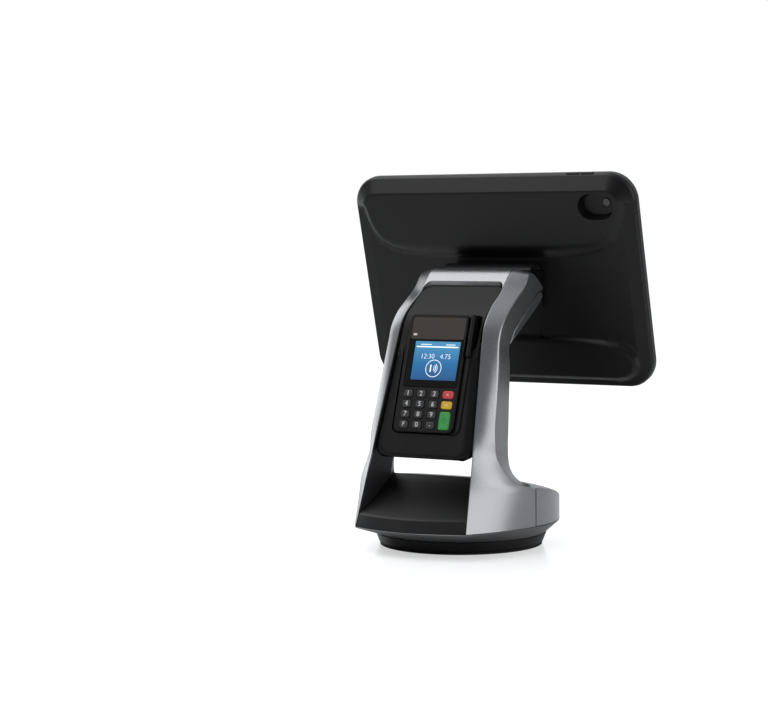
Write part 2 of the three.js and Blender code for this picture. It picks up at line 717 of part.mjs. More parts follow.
function keyOutline(key, gap, steps = 1) {
  const w = key.width / 2 + gap;
  const h = key.height / 2 + gap;
  return roundedRect(key.x - w, key.x + w, key.y - h, key.y + h, 1.4 + gap, steps);
}

const padOutline = (inset) => roundedRect(-PAD_LEFT + inset, PAD_RIGHT - inset,
  PAD_BOTTOM + inset, PAD_TOP - inset, PAD_CORNER - inset, 2);

function cardSlot(depth) {
  const half = CARD_WIDTH / 2 + 2 * GAP;
  return box(SLOT_X - half, SLOT_X + half, PAD_TOP - depth, PAD_TOP + 5,
    SLOT_Z - CARD_GAP / 2, SLOT_Z + CARD_GAP / 2);
}

function padRearCase() {
  const shell = slab(padOutline(0), PAD_BACK, BEZEL_BACK - GAP);
  const inside = slab(padOutline(SKIN), PAD_BACK + SKIN, PAD_PROUD);
  return shell.subtract(inside).subtract(cardSlot(10));
}

function padBezel() {
  let bezel = slab(padOutline(0), BEZEL_BACK, PAD_PROUD)
    .subtract(box(FACE_LEFT - 2, FACE_RIGHT - 2, PAD_BOTTOM + 2.5, PAD_TOP - 2.5,
      BEZEL_BACK - 1, BEZEL_TOP));
  bezel = bezel.subtract(slab(roundedRect(FACE_LEFT + 1.2, FACE_RIGHT - 1.2, LENS_BOTTOM,
    PAD_TOP - HEADER_MARGIN + GAP, 2, 1), PAD_PROUD - LENS_SEAT, PAD_PROUD + 5));
  bezel = bezel.subtract(displayBlock(0.5, BEZEL_BACK - 1, PAD_PROUD));
  bezel = bezel.subtract(box(GROOVE[0], GROOVE[1], GROOVE_BOTTOM, PAD_TOP + 5, BEZEL_BACK + 0.7,
    PAD_PROUD + 5));
  bezel = bezel.subtract(stripeHead(GAP));
  for (const key of keys) {
    bezel = bezel.subtract(slab(keyOutline(key, GAP), BEZEL_BACK - 1, PAD_PROUD + 5));
  }
  return bezel;
}

function displayBlock(gap, z0, z1) {
  return box(SCREEN_X - SCREEN_WIDTH / 2 - gap, SCREEN_X + SCREEN_WIDTH / 2 + gap,
    LENS_BOTTOM + SCREEN_MARGIN - gap, LENS_TOP - 1.3 + gap, z0, z1);
}

// reading head beside the swipe groove
function stripeHead(gap) {
  return box(FACE_RIGHT - 3 - gap, GROOVE[0] + 0.1 + gap, PAD_TOP - 20 - gap, PAD_TOP - 12 + gap,
    -0.3 - gap, 1.5 + gap);
}

const LENS_SEAT = 1.2;            // depth of the recess that the lens and header sit in
const LENS_DEPTH = LENS_SEAT - GAP;
const SCREEN_MARGIN = 6.6;
const LIGHT = { x: -21.5, y: LENS_TOP + 4.5, width: 4, height: 2.4 };

function headerPlate() {
  const plate = slab(roundedRect(FACE_LEFT + 1.5, FACE_RIGHT - 1.5, LENS_TOP + GAP,
    PAD_TOP - HEADER_MARGIN, 1.8, 1), PAD_PROUD - LENS_DEPTH, PAD_PROUD);
  const w = LIGHT.width / 2 + GAP;
  const h = LIGHT.height / 2 + GAP;
  return plate.subtract(box(LIGHT.x - w, LIGHT.x + w, LIGHT.y - h, LIGHT.y + h, 0, PAD_PROUD + 2));
}

function displayLens() {
  return slab(roundedRect(FACE_LEFT + 1.5, FACE_RIGHT - 1.5, LENS_BOTTOM + GAP, LENS_TOP,
    1.8, 1), PAD_PROUD - LENS_DEPTH, PAD_PROUD);
}

function chipReader() {
  const half = CARD_WIDTH / 2 + 1.8;
  const body = box(SLOT_X - half, SLOT_X + half, PAD_TOP - 34, PAD_TOP - SKIN - 1, SLOT_Z - 2.6,
    SLOT_Z + 2.6);
  return body.subtract(cardSlot(32));
}

add('pad_rear_case', padRearCase(), soft, face);
add('pad_bezel', padBezel(), black, face);
add('header_plate', headerPlate(), header, face);
add('display_lens', displayLens(), glass, face);
add('status_light', box(LIGHT.x - LIGHT.width / 2, LIGHT.x + LIGHT.width / 2,
  LIGHT.y - LIGHT.height / 2, LIGHT.y + LIGHT.height / 2, PAD_PROUD - LENS_DEPTH, PAD_PROUD),
acetal, face);
add('display_module', displayBlock(0, 0.6, PAD_PROUD - LENS_SEAT), screen, face);
add('keypad_mat', box(-25, 26, PAD_BOTTOM + 3, ROW_TOP + 5.2, -1.3,
  KEY_FOOT - KEY_TRAVEL - GAP), rubber, face);
add('main_board', box(-PAD_LEFT + 4, 27, PAD_BOTTOM + 4, PAD_TOP - 4, -3.4, -1.7), board, face);
add('battery_pack', box(-26, 28, PAD_BOTTOM + 5, PAD_TOP - 36, PAD_BACK + SKIN + GAP, -4), cell, face);
add('chip_reader', chipReader(), black, face);
add('magstripe_head', stripeHead(0), steel, face);
for (const key of keys) {
  add(key.name, slab(keyOutline(key, 0), KEY_FOOT, KEY_TOP), key.material, face);
}

// ---- tilt hinge ------------------------------------------------------------------------------------------
// ring sector around the hinge axis, as a (y, z) outline
function sector(inner, outer, from, to, steps) {
  const points = [];
  for (let i = 0; i <= steps; i++) {
    const a = THREE.MathUtils.degToRad(mix(from, to, i / steps));
    points.push([AXIS_Y + outer * Math.cos(a), AXIS_Z + outer * Math.sin(a)]);
  }
  for (let i = steps; i >= 0; i--) {
    const a = THREE.MathUtils.degToRad(mix(from, to, i / steps));
    points.push([AXIS_Y + inner * Math.cos(a), AXIS_Z + inner * Math.sin(a)]);
  }
  return points;
}

function headTongue() {
  const arm = barX([[NOSE_Y - 26, AXIS_Z - 6], [AXIS_Y, AXIS_Z - 6.5], [AXIS_Y, AXIS_Z + 5],
    [NOSE_Y - 18, AXIS_Z + 1.5], [NOSE_Y - 26, AXIS_Z - 0.5]], -TONGUE_HALF, TONGUE_HALF);
  const knuckle = rod(KNUCKLE_RADIUS, -TONGUE_HALF, TONGUE_HALF, AXIS_Y, AXIS_Z);
  const bore = rod(PIN_RADIUS + GAP, -TONGUE_HALF - 1, TONGUE_HALF + 1, AXIS_Y, AXIS_Z);
  return arm.add(knuckle).subtract(bore);
}

add('head_tongue', headTongue(), steel);
add('hinge_pin', rod(PIN_RADIUS, -TONGUE_HALF - EAR_WIDTH, TONGUE_HALF + EAR_WIDTH, AXIS_Y, AXIS_Z),
  steel);

// ---- tablet: X across, Y up its face, Z towards the customer --------------------------------------------
const CENTRE_Y = AXIS_Y + AXIS_TO_CENTRE;
const CENTRE_Z = AXIS_Z - GAP;
const tablet = new THREE.Group();
tablet.position.set(0, CENTRE_Y, CENTRE_Z);
tablet.rotation.x = Math.PI / 2 + TILT;
assembly.add(tablet);

const BAND_DEPTH = 5;
const BACK_Z = 1.2;               // the tablet's own back
const FRAME_LIP = 3;

const centredRect = (width, height, radius, steps = 4) =>
  roundedRect(-width / 2, width / 2, -height / 2, height / 2, radius, steps);
const atZ = (outline, z) => outline.map(([x, y]) => [x, y, z]);

function caseBack() {
  const rings = [[0, 0.3], [1.2, 3.4], [13, BAND_DEPTH]].map(([inset, z]) => atZ(
    centredRect(CASE_WIDTH - 2 * inset, CASE_HEIGHT - 2 * inset, CASE_CORNER - inset), z));
  const pod = (y0, y1, spread) => loft([
    atZ(roundedRect(-CASE_WIDTH / 2 + 9, CASE_WIDTH / 2 - 9, y0, y1, 17), BAND_DEPTH - 2),
    atZ(roundedRect(-CASE_WIDTH / 2 + 9 + spread, CASE_WIDTH / 2 - 9 - spread, y0 + spread,
      y1 - spread, 14), CASE_BACK_DEPTH),
  ]);
  const top = CASE_HEIGHT / 2;
  const upper = pod(top - 75, top - 7, 4);
  const lower = pod(7 - top, 47.5 - top, 2);
  const inside = slab(centredRect(TABLET_WIDTH + 2, TABLET_HEIGHT + 2, 12, 2), -1, BACK_Z + GAP);
  const cameraX = TABLET_WIDTH / 2 - 14;
  const cameraY = TABLET_HEIGHT / 2 - 15.5;
  const pocket = loft([
    atZ(roundedRect(cameraX - 13, cameraX + 14, cameraY - 7, cameraY + 10, 7, 2), -1),
    atZ(roundedRect(cameraX - 18, cameraX + 17, cameraY - 12, cameraY + 13, 11, 2),
      CASE_BACK_DEPTH + 1),
  ]);
  const notch = box(34.5, 43.6, 46 - top, 52 - top, BAND_DEPTH - 0.5, CASE_BACK_DEPTH + 5);
  let shell = loft(rings).add(upper).add(lower).subtract(inside).subtract(pocket).subtract(notch);
  for (const button of edgeButtons) {
    shell = shell.subtract(button.shape(GAP));
  }
  return shell.subtract(jackHole());
}

// two volume buttons on the top edge, the power button on the right edge
const BUTTON_TRAVEL = 0.5;
const BUTTON_LENGTH = 12;
const BUTTON_DEPTH = 4;
const BUTTON_PROUD = 0.9;
const BUTTON_HALF = 2;
const edgeButtons = [
  { name: 'volume_up_button', shape: (gap) => topButton(TABLET_WIDTH / 2 - 42.8, gap) },
  { name: 'volume_down_button', shape: (gap) => topButton(TABLET_WIDTH / 2 - 29.2, gap) },
  { name: 'power_button', shape: (gap) => sideButton(TABLET_HEIGHT / 2 - 24.75, gap) },
];

// `gap` above zero gives the button's slot, with room for its travel
function topButton(x, gap) {
  const low = CASE_HEIGHT / 2 - BUTTON_DEPTH - gap - (gap ? BUTTON_TRAVEL : 0);
  return box(x - gap, x + BUTTON_LENGTH + gap, low, CASE_HEIGHT / 2 + BUTTON_PROUD + gap,
    -BUTTON_HALF - gap, BUTTON_HALF + gap);
}

function sideButton(y, gap) {
  const low = CASE_WIDTH / 2 - BUTTON_DEPTH - gap - (gap ? BUTTON_TRAVEL : 0);
  return box(low, CASE_WIDTH / 2 + BUTTON_PROUD + gap, y - gap, y + BUTTON_LENGTH + gap,
    -BUTTON_HALF - gap, BUTTON_HALF + gap);
}

function jackHole() {
  const hole = new THREE.CylinderGeometry(2.6, 2.6, 30, 12);
  return solid(hole.rotateZ(Math.PI / 2).translate(CASE_WIDTH / 2, 15.75 - TABLET_HEIGHT / 2, -3.5));
}

function caseFrame() {
  const rings = [[0, 0], [0, -5], [2.5, -CASE_FRONT_DEPTH]].map(([inset, z]) => atZ(
    centredRect(CASE_WIDTH - 2 * inset, CASE_HEIGHT - 2 * inset, CASE_CORNER - inset), z));
  const room = slab(centredRect(TABLET_WIDTH + 2 * GAP, TABLET_HEIGHT + 2 * GAP, 10, 2),
    -CASE_FRONT_DEPTH + 2, 2);
  const opening = slab(centredRect(TABLET_WIDTH - 2 * FRAME_LIP, TABLET_HEIGHT - 2 * FRAME_LIP, 8, 2),
    -CASE_FRONT_DEPTH - 1, 0);
  let frame = loft(rings).subtract(room).subtract(opening);
  for (const button of edgeButtons) {
    frame = frame.subtract(button.shape(GAP));
  }
  return frame.subtract(jackHole()).subtract(chargingPlug(GAP));
}

// plug of the case's inner charging lead, in the tablet's socket side
function chargingPlug(gap) {
  const x = -TABLET_WIDTH / 2 - GAP;
  return box(x - 10 - gap, x - 0.1 + gap, -4 - gap, 4 + gap, -4 - gap, -1 + gap);
}

const GLASS_FRONT = -CASE_FRONT_DEPTH + 2 + GAP;
const HOME_X = -TABLET_WIDTH / 2 + 9.5;

function homeHole(gap) {
  const hole = new THREE.CylinderGeometry(HOME_RADIUS + gap, HOME_RADIUS + gap, 2, 20);
  return solid(hole.rotateX(Math.PI / 2).translate(HOME_X, 0, GLASS_FRONT + 0.9));
}

function tabletGlass() {
  return slab(centredRect(TABLET_WIDTH, TABLET_HEIGHT, 9, 2), GLASS_FRONT, GLASS_FRONT + GLASS_DEPTH)
    .subtract(homeHole(GAP));
}

function tabletBody() {
  const low = GLASS_FRONT + GLASS_DEPTH + GAP;
  const cut = new THREE.CylinderGeometry(HOME_RADIUS + GAP, HOME_RADIUS + GAP, 6, 20);
  return slab(centredRect(TABLET_WIDTH, TABLET_HEIGHT, 9, 2), low, BACK_Z)
    .subtract(solid(cut.rotateX(Math.PI / 2).translate(HOME_X, 0, low - 0.5)));
}

function homeButton() {
  const button = new THREE.CylinderGeometry(HOME_RADIUS, HOME_RADIUS, 1.2, 20);
  return solid(button.rotateX(Math.PI / 2).translate(HOME_X, 0, GLASS_FRONT + 0.8));
}

function cameraLens() {
  const lens = new THREE.CylinderGeometry(3.4, 3.4, 1.4, 16);
  return solid(lens.rotateX(Math.PI / 2)
    .translate(TABLET_WIDTH / 2 - 6.4, TABLET_HEIGHT / 2 - 12.5, BACK_Z + GAP + 0.7));
}

// plate screwed to the case's middle band, with two ears round the hinge pin
function hingePlate() {
  const axisY = Math.cos(TILT) * (AXIS_Z - CENTRE_Z) - Math.sin(TILT) * (AXIS_Y - CENTRE_Y);
  const axisZ = -Math.cos(TILT) * (AXIS_Y - CENTRE_Y) - Math.sin(TILT) * (AXIS_Z - CENTRE_Z);
  const low = BAND_DEPTH + GAP;
  const plate = slab(roundedRect(-42, 42, -24, 16, 5, 2), low, low + 3);
  let whole = plate;
  for (const side of [-1, 1]) {
    const near = side * (TONGUE_HALF + GAP);
    const far = side * (TONGUE_HALF + EAR_WIDTH);
    const [x0, x1] = [Math.min(near, far), Math.max(near, far)];
    whole = whole.add(box(x0, x1, axisY - KNUCKLE_RADIUS, axisY + KNUCKLE_RADIUS, low, axisZ))
      .add(rod(KNUCKLE_RADIUS, x0, x1, axisY, axisZ));
  }
  return whole.subtract(rod(PIN_RADIUS + GAP, -60, 60, axisY, axisZ));
}

add('case_back', caseBack(), soft, tablet);
add('case_frame', caseFrame(), soft, tablet);
add('tablet_body', tabletBody(), tabletMetal, tablet);
add('tablet_glass', tabletGlass(), glass, tablet);
add('home_button', homeButton(), black, tablet);
add('camera_lens', cameraLens(), glass, tablet);
add('charging_plug', chargingPlug(0), black, tablet);
for (const button of edgeButtons) {
  add(button.name, button.shape(0), black, tablet);
}
add('hinge_plate', hingePlate(), steel, tablet);
add('hinge_cover', barX(sector(COVER_RADIUS - 2.5, COVER_RADIUS, 62, 141, 6), -44, 44), soft);

export default assembly;
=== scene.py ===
import math

import bmesh
import bpy
from mathutils import Matrix, Vector


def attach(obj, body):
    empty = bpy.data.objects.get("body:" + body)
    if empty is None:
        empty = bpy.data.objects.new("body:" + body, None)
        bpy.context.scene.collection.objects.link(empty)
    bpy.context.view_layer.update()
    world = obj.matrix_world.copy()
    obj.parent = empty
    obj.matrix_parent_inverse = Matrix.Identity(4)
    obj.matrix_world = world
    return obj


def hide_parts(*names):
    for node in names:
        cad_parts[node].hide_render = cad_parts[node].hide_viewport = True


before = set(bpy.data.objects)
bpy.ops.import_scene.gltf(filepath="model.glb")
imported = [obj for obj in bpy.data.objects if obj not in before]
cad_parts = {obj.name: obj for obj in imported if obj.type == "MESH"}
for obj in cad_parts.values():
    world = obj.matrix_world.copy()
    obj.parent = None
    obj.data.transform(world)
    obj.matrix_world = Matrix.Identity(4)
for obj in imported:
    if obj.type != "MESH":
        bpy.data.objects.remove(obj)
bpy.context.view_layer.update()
MM = 0.001

# ---- camera ----
# The terminal is seen from the customer's side, a little to the right and from
# just above the tablet's middle, through a long lens.
CAMERA_DISTANCE, CAMERA_HEIGHT = 1.8469, 0.2874
AZIMUTH, PAN, PITCH, ROLL = (math.radians(a) for a in (28.62, 2.06, 4.03, -0.47))
SENSOR_WIDTH, LENS = 36, 99.4
yaw = AZIMUTH + PAN
forward = Vector((-math.sin(yaw) * math.cos(PITCH), math.cos(yaw) * math.cos(PITCH), -math.sin(PITCH)))
right = Vector((math.cos(yaw), math.sin(yaw), 0))
upward = right.cross(forward)
right, upward = (right * math.cos(ROLL) + upward * math.sin(ROLL),
                 upward * math.cos(ROLL) - right * math.sin(ROLL))
place = (CAMERA_DISTANCE * math.sin(AZIMUTH), -CAMERA_DISTANCE * math.cos(AZIMUTH), CAMERA_HEIGHT)
lens_block = bpy.data.cameras.new("camera")
lens_block.sensor_width = SENSOR_WIDTH
lens_block.lens = LENS
lens_block.clip_start = 0.05
camera = bpy.data.objects.new("camera", lens_block)
bpy.context.scene.collection.objects.link(camera)
camera.matrix_world = Matrix([(right[i], upward[i], -forward[i], place[i]) for i in range(3)]
                             + [(0, 0, 0, 1)])
bpy.context.scene.camera = camera
bpy.context.scene.view_settings.view_transform = "Standard"

# ---- studio ----
# A white sweep under large soft boxes. The box in front is small and weak, so black
# plastic stays black, and those at both sides draw bright bands along the painted legs.
BRIGHT_SKY = (-0.12, 0.62, 0.78)
world = bpy.data.worlds.new("studio")
bpy.context.scene.world = world
world.use_nodes = True
sky = world.node_tree
sky.nodes.clear()


def add_node(tree, kind, operation=None, values=None):
    """One node, with its operation and the values of its sockets."""
    node = tree.nodes.new(kind)
    if operation is not None:
        node.operation = operation
    for socket, value in (values or {}).items():
        node.inputs[socket].default_value = value
    return node


def wire(tree, *runs):
    """Joins an output of one node to an input of the next."""
    for source, output, target, socket in runs:
        tree.links.new(source.outputs[output], target.inputs[socket])


def colour_stops(ramp, low, high, middle):
    """Sets a ramp's two ends and one colour between them, each as its place and colour."""
    for stop, (position, colour) in zip(ramp.color_ramp.elements, (low, high)):
        stop.position, stop.color = position, colour
    ramp.color_ramp.elements.new(middle[0]).color = middle[1]


heading = add_node(sky, "ShaderNodeTexCoord")
toward = add_node(sky, "ShaderNodeVectorMath", "DOT_PRODUCT", {1: BRIGHT_SKY})
shift = add_node(sky, "ShaderNodeMath", "MULTIPLY_ADD", {1: 0.5, 2: 0.5})
sky_ramp = add_node(sky, "ShaderNodeValToRGB")
colour_stops(sky_ramp, (0.25, (0.10, 0.105, 0.11, 1)), (1.0, (0.80, 0.82, 0.85, 1)),
             (0.62, (0.34, 0.35, 0.37, 1)))
seen = add_node(sky, "ShaderNodeLightPath")
choose = add_node(sky, "ShaderNodeMix")
choose.data_type = "RGBA"
choose.inputs["B"].default_value = (1.0, 1.0, 1.0, 1)
glow = add_node(sky, "ShaderNodeBackground")
out = add_node(sky, "ShaderNodeOutputWorld")
wire(sky, (heading, "Generated", toward, 0), (toward, "Value", shift, 0), (shift, 0, sky_ramp, 0),
     (sky_ramp, "Color", choose, "A"), (seen, "Is Camera Ray", choose, "Factor"),
     (choose, "Result", glow, "Color"), (glow, 0, out, "Surface"))


def soft_box(name, place, aim, size, watts):
    """A rectangular lamp, in metres and watts, turned to face what it lights."""
    lamp = bpy.data.lights.new(name, "AREA")
    lamp.shape = "RECTANGLE"
    lamp.size, lamp.size_y = size
    lamp.energy = watts
    holder = bpy.data.objects.new(name, lamp)
    bpy.context.scene.collection.objects.link(holder)
    holder.location = place
    holder.rotation_euler = (Vector(aim) - Vector(place)).to_track_quat("-Z", "Y").to_euler()


soft_box("top_box", (-0.75, -0.3, 1.7), (0, 0.02, 0.15), (2.0, 1.1), 13)
soft_box("right_box", (2.0, -0.2, 0.68), (0, 0, 0.16), (1.5, 1.3), 13)
soft_box("left_box", (-1.7, 0.75, 0.6), (0, 0, 0.16), (1.0, 1.2), 5)
soft_box("front_box", (-1.0, -1.5, 1.3), (0, 0, 0.3), (1.3, 0.6), 4.6)

bpy.ops.object.select_all(action="DESELECT")
bpy.ops.mesh.primitive_plane_add(size=60, location=(0, 20, 0))
floor = bpy.context.object
floor.name = "floor"


# ---- finishes ----
# Moulded grain, shared by every plastic and painted finish: a fine texture in the
# tool, and a slow change of shade and gloss over the piece.
def grain_group():
    group = bpy.data.node_groups.new("moulded_grain", "ShaderNodeTree")
    for label, kind, value in (("Colour", "NodeSocketColor", (0.5, 0.5, 0.5, 1)),
                               ("Grain Scale", "NodeSocketFloat", 2500.0),
                               ("Shade Spread", "NodeSocketFloat", 0.1),
                               ("Roughness", "NodeSocketFloat", 0.5),
                               ("Gloss Spread", "NodeSocketFloat", 0.05)):
        group.interface.new_socket(label, in_out="INPUT", socket_type=kind).default_value = value
    for label, kind in (("Colour", "NodeSocketColor"), ("Roughness", "NodeSocketFloat"),
                        ("Height", "NodeSocketFloat")):
        group.interface.new_socket(label, in_out="OUTPUT", socket_type=kind)
    source, sink = add_node(group, "NodeGroupInput"), add_node(group, "NodeGroupOutput")
    place = add_node(group, "ShaderNodeTexCoord")
    fine = add_node(group, "ShaderNodeTexNoise", values={"Detail": 3})
    broad = add_node(group, "ShaderNodeTexNoise", values={"Scale": 22, "Detail": 4})
    both = add_node(group, "ShaderNodeMath", "ADD")
    centred = add_node(group, "ShaderNodeMath", "SUBTRACT", {1: 1.0})
    shade = add_node(group, "ShaderNodeMath", "MULTIPLY_ADD", {2: 1.0})
    tone = add_node(group, "ShaderNodeVectorMath", "SCALE")
    gloss = add_node(group, "ShaderNodeMath", "MULTIPLY_ADD")
    gloss.use_clamp = True
    wire(group, (place, "Object", fine, "Vector"), (place, "Object", broad, "Vector"),
         (source, "Grain Scale", fine, "Scale"), (fine, "Fac", both, 0), (broad, "Fac", both, 1),
         (both, 0, centred, 0), (centred, 0, shade, 0), (source, "Shade Spread", shade, 1),
         (source, "Colour", tone, 0), (shade, 0, tone, "Scale"), (centred, 0, gloss, 0),
         (source, "Gloss Spread", gloss, 1), (source, "Roughness", gloss, 2), (tone, 0, sink, "Colour"),
         (gloss, 0, sink, "Roughness"), (fine, "Fac", sink, "Height"))
    return group


moulded_grain = grain_group()
GRAIN_HEIGHT = 0.0004


def linear(code):
    """A colour's six hexadecimal figures as linear values."""
    shades = [int(code[i:i + 2], 16) / 255 for i in (0, 2, 4)]
    return tuple(c / 12.92 if c < 0.04045 else ((c + 0.055) / 1.055) ** 2.4 for c in shades) + (1,)


def finish(name, code, roughness, grain=2500, depth=0.05, shade=0.12, gloss=0.06, **constants):
    """A finish with the shared grain; what is the same all over is set on the shader itself."""
    material = bpy.data.materials.new(name)
    material.use_nodes = True
    tree = material.node_tree
    shader = tree.nodes["Principled BSDF"]
    texture = add_node(tree, "ShaderNodeGroup")
    texture.node_tree = moulded_grain
    for socket, value in (("Colour", linear(code)), ("Grain Scale", grain), ("Shade Spread", shade),
                          ("Roughness", roughness), ("Gloss Spread", gloss)):
        texture.inputs[socket].default_value = value
    bump = add_node(tree, "ShaderNodeBump", values={"Strength": depth, "Distance": GRAIN_HEIGHT})
    wire(tree, (texture, "Colour", shader, "Base Color"), (texture, "Roughness", shader, "Roughness"),
         (texture, "Height", bump, "Height"), (bump, "Normal", shader, "Normal"))
    for socket, value in constants.items():
        shader.inputs[socket.replace("_", " ")].default_value = value
    return material


def paint(piece, material):
    piece.data.materials.clear()
    piece.data.materials.append(material)


def paint_solids(material, *solids):
    """Solids that keep their own shape and only get a finish."""
    for solid in solids:
        paint(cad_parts[solid], material)


floor_paint = finish("studio_floor", "f2f2f2", 0.16, grain=40, depth=0.0, shade=0.01, gloss=0.01,
                     Emission_Color=(1, 1, 1, 1))
paint(floor, floor_paint)
FLOOR_GLOW = 0.5
floor_tree = floor_paint.node_tree
floor_seen = add_node(floor_tree, "ShaderNodeLightPath")
floor_glow = add_node(floor_tree, "ShaderNodeMath", "MULTIPLY", {1: FLOOR_GLOW})
wire(floor_tree, (floor_seen, "Is Camera Ray", floor_glow, 0),
     (floor_glow, 0, floor_tree.nodes["Principled BSDF"], "Emission Strength"))

# ---- swivel foot ----
# A black nylon disc turned on a lathe, on a thin rubber pad that grips the counter.
# The tray above it turns on an acetal ring round a steel post.
nylon = finish("nylon_disc", "0b0b0c", 0.42, grain=1800, depth=0.06, Specular_IOR_Level=0.35)
rubber = finish("foot_rubber", "0b0b0b", 0.85, grain=1500, depth=0.2)
acetal = finish("acetal", "e4e2da", 0.38, depth=0.02)
steel = finish("turned_steel", "a9a9ab", 0.3, grain=900, depth=0.03, Metallic=1.0)


def select_only(*pieces):
    bpy.ops.object.select_all(action="DESELECT")
    for piece in pieces:
        piece.select_set(True)
    bpy.context.view_layer.objects.active = pieces[0]


def joined(name, *pieces):
    """Several meshes as one piece."""
    select_only(*pieces)
    bpy.ops.object.join()
    pieces[0].name = pieces[0].data.name = name
    return pieces[0]


def apply_step(piece, kind, **settings):
    """Adds a modifier with its settings, and applies it."""
    select_only(piece)
    step = piece.modifiers.new(kind.lower(), kind)
    for setting, value in settings.items():
        setattr(step, setting, value)
    bpy.ops.object.modifier_apply(modifier=step.name)
    return piece


def started(name):
    """The primitive just added, under the piece's own name and with its place in its mesh."""
    piece = bpy.context.object
    piece.name = piece.data.name = name
    bpy.ops.object.transform_apply(location=True, rotation=True, scale=True)
    return piece


def ease_edges(piece, width, segments=3, angle=30):
    """Rounds every edge that is sharper than the angle; the width is in millimetres."""
    return apply_step(piece, "BEVEL", width=width * MM, segments=segments, limit_method="ANGLE",
                      angle_limit=math.radians(angle))


def smooth(piece, angle=32):
    """Smooth shading that keeps flat faces flat, so an eased edge shows as a thin line."""
    select_only(piece)
    bpy.ops.object.shade_smooth_by_angle(angle=math.radians(angle))
    return apply_step(piece, "WEIGHTED_NORMAL", keep_sharp=True)


def assign(piece, body, slot, material, *nodes):
    """Gives a finished piece its paint and its moving body, and hides the solids it stands for. The slot is
    not used.
    """
    paint(piece, material)
    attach(piece, body)
    if nodes:
        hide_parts(*nodes)
    return piece


bpy.ops.object.select_all(action="DESELECT")
bpy.ops.mesh.primitive_cylinder_add(vertices=128, radius=71 * MM, depth=2 * MM, location=(0, 0, 1 * MM))
pad = smooth(ease_edges(started("counter_pad"), 0.5))
assign(pad, "counter_base", "rubber", rubber, "foot_pad")

bpy.ops.object.select_all(action="DESELECT")
bpy.ops.mesh.primitive_cone_add(vertices=160, radius1=71.5 * MM, radius2=75 * MM, depth=8.6 * MM,
                                location=(0, 0, 6.6 * MM))
disc = smooth(ease_edges(started("turntable_disc"), 0.9))
assign(disc, "counter_base", "gloss_black", nylon, "turntable_base")

paint_solids(acetal, "glide_ring", "pivot_washer")
paint_solids(steel, "pivot_post", "pivot_nut")

# ---- base tray ----
# The cast tray under the arch: its silver-painted underside, given a darker silver as painted shade, slopes
# out from the disc to the
#  rim, which is round at the sides and rear and bowed forward at the front.
RIM_Z = 22.4
DRUM_RADIUS = 86.2
SEAM_Y = -20.2
SEAM_X = math.sqrt(DRUM_RADIUS ** 2 - SEAM_Y ** 2)
FOOT_HALF = 53.4
FOOT_Y = -90.5
APRON_Y = -102.5
WALL_BULGE = 4.3
silver_paint = finish("silver_paint", "8f9092", 0.28, grain=3800, depth=0.05, shade=0.1, gloss=0.05,
                      Metallic=0.85, Coat_Weight=0.2, Coat_Roughness=0.2)
# The underside's finish is the arch's silver paint drawn darker, as painted shade for the dark it faces and
# reflects under the arch; it is also less metallic and rougher.
silver_paint_painted_shade = finish("silver_paint_painted_shade", "78797a", 0.42, grain=3800, depth=0.05, shade=0.1, gloss=0.05,
                         Metallic=0.7)


def mix(a, b, t):
    return a + (b - a) * t


def apron_y(x):
    """The bowed front of the rim, as an arc through both feet."""
    rise = FOOT_Y - APRON_Y
    radius = (FOOT_HALF ** 2 + rise ** 2) / (2 * rise)
    return APRON_Y + radius - math.sqrt(max(radius ** 2 - x * x, 0))


def across_front(inner, outer, bulge, steps):
    """Points from a leg's front edge to its outer crease, bulged outwards in plan."""
    dx, dy = outer[0] - inner[0], outer[1] - inner[1]
    length = math.hypot(dx, dy)
    points = []
    for i in range(steps + 1):
        t = i / steps
        out_by = bulge * math.sin(math.pi * t)
        points.append((mix(inner[0], outer[0], t) + out_by * dy / length,
                       mix(inner[1], outer[1], t) - out_by * dx / length,
                       mix(inner[2], outer[2], t)))
    return points


def rim_outline(inset=0.0):
    """The tray's rim from above, drawn in towards the middle by the inset."""
    half = [(FOOT_HALF * i / 14, apron_y(FOOT_HALF * i / 14)) for i in range(14)]
    half += [p[:2] for p in across_front((FOOT_HALF, FOOT_Y, 0), (SEAM_X, SEAM_Y, 0), WALL_BULGE, 20)]
    start = math.atan2(SEAM_Y, SEAM_X)
    for i in range(1, 45):
        turn = mix(start, math.pi / 2, i / 44)
        half.append((DRUM_RADIUS * math.cos(turn), DRUM_RADIUS * math.sin(turn)))
    whole = half + [(-x, y) for x, y in reversed(half[1:-1])]
    return [(x * (1 - inset / math.hypot(x, y)), y * (1 - inset / math.hypot(x, y))) for x, y in whole]


def made_of(name, points, faces):
    """A new mesh from points in millimetres and faces."""
    mesh = bpy.data.meshes.new(name)
    mesh.from_pydata([Vector(p) * MM for p in points], [], faces)
    piece = bpy.data.objects.new(name, mesh)
    bpy.context.scene.collection.objects.link(piece)
    return piece


def closed_up(piece):
    """Merges doubles, then turns every face outwards."""
    select_only(piece)
    bpy.ops.object.mode_set(mode="EDIT")
    bpy.ops.mesh.select_all(action="SELECT")
    bpy.ops.mesh.remove_doubles(threshold=0.01 * MM)
    bpy.ops.mesh.normals_make_consistent(inside=False)
    bpy.ops.object.mode_set(mode="OBJECT")
    return piece


def skin(name, rings, loop=False):
    """A closed shape through rings of equally many points."""
    count = len(rings[0])
    faces = []
    for i in range(len(rings) if loop else len(rings) - 1):
        a, b = i * count, ((i + 1) % len(rings)) * count
        for j in range(count):
            k = (j + 1) % count
            faces.append((a + j, a + k, b + k, b + j))
    if not loop:
        faces.append(tuple(reversed(range(count))))
        faces.append(tuple(range((len(rings) - 1) * count, len(rings) * count)))
    return closed_up(made_of(name, [p for ring in rings for p in ring], faces))


def scaled_to(outline, radius, z):
    """The outline pushed on to a circle at a height."""
    return [(x * radius / math.hypot(x, y), y * radius / math.hypot(x, y), z) for x, y in outline]


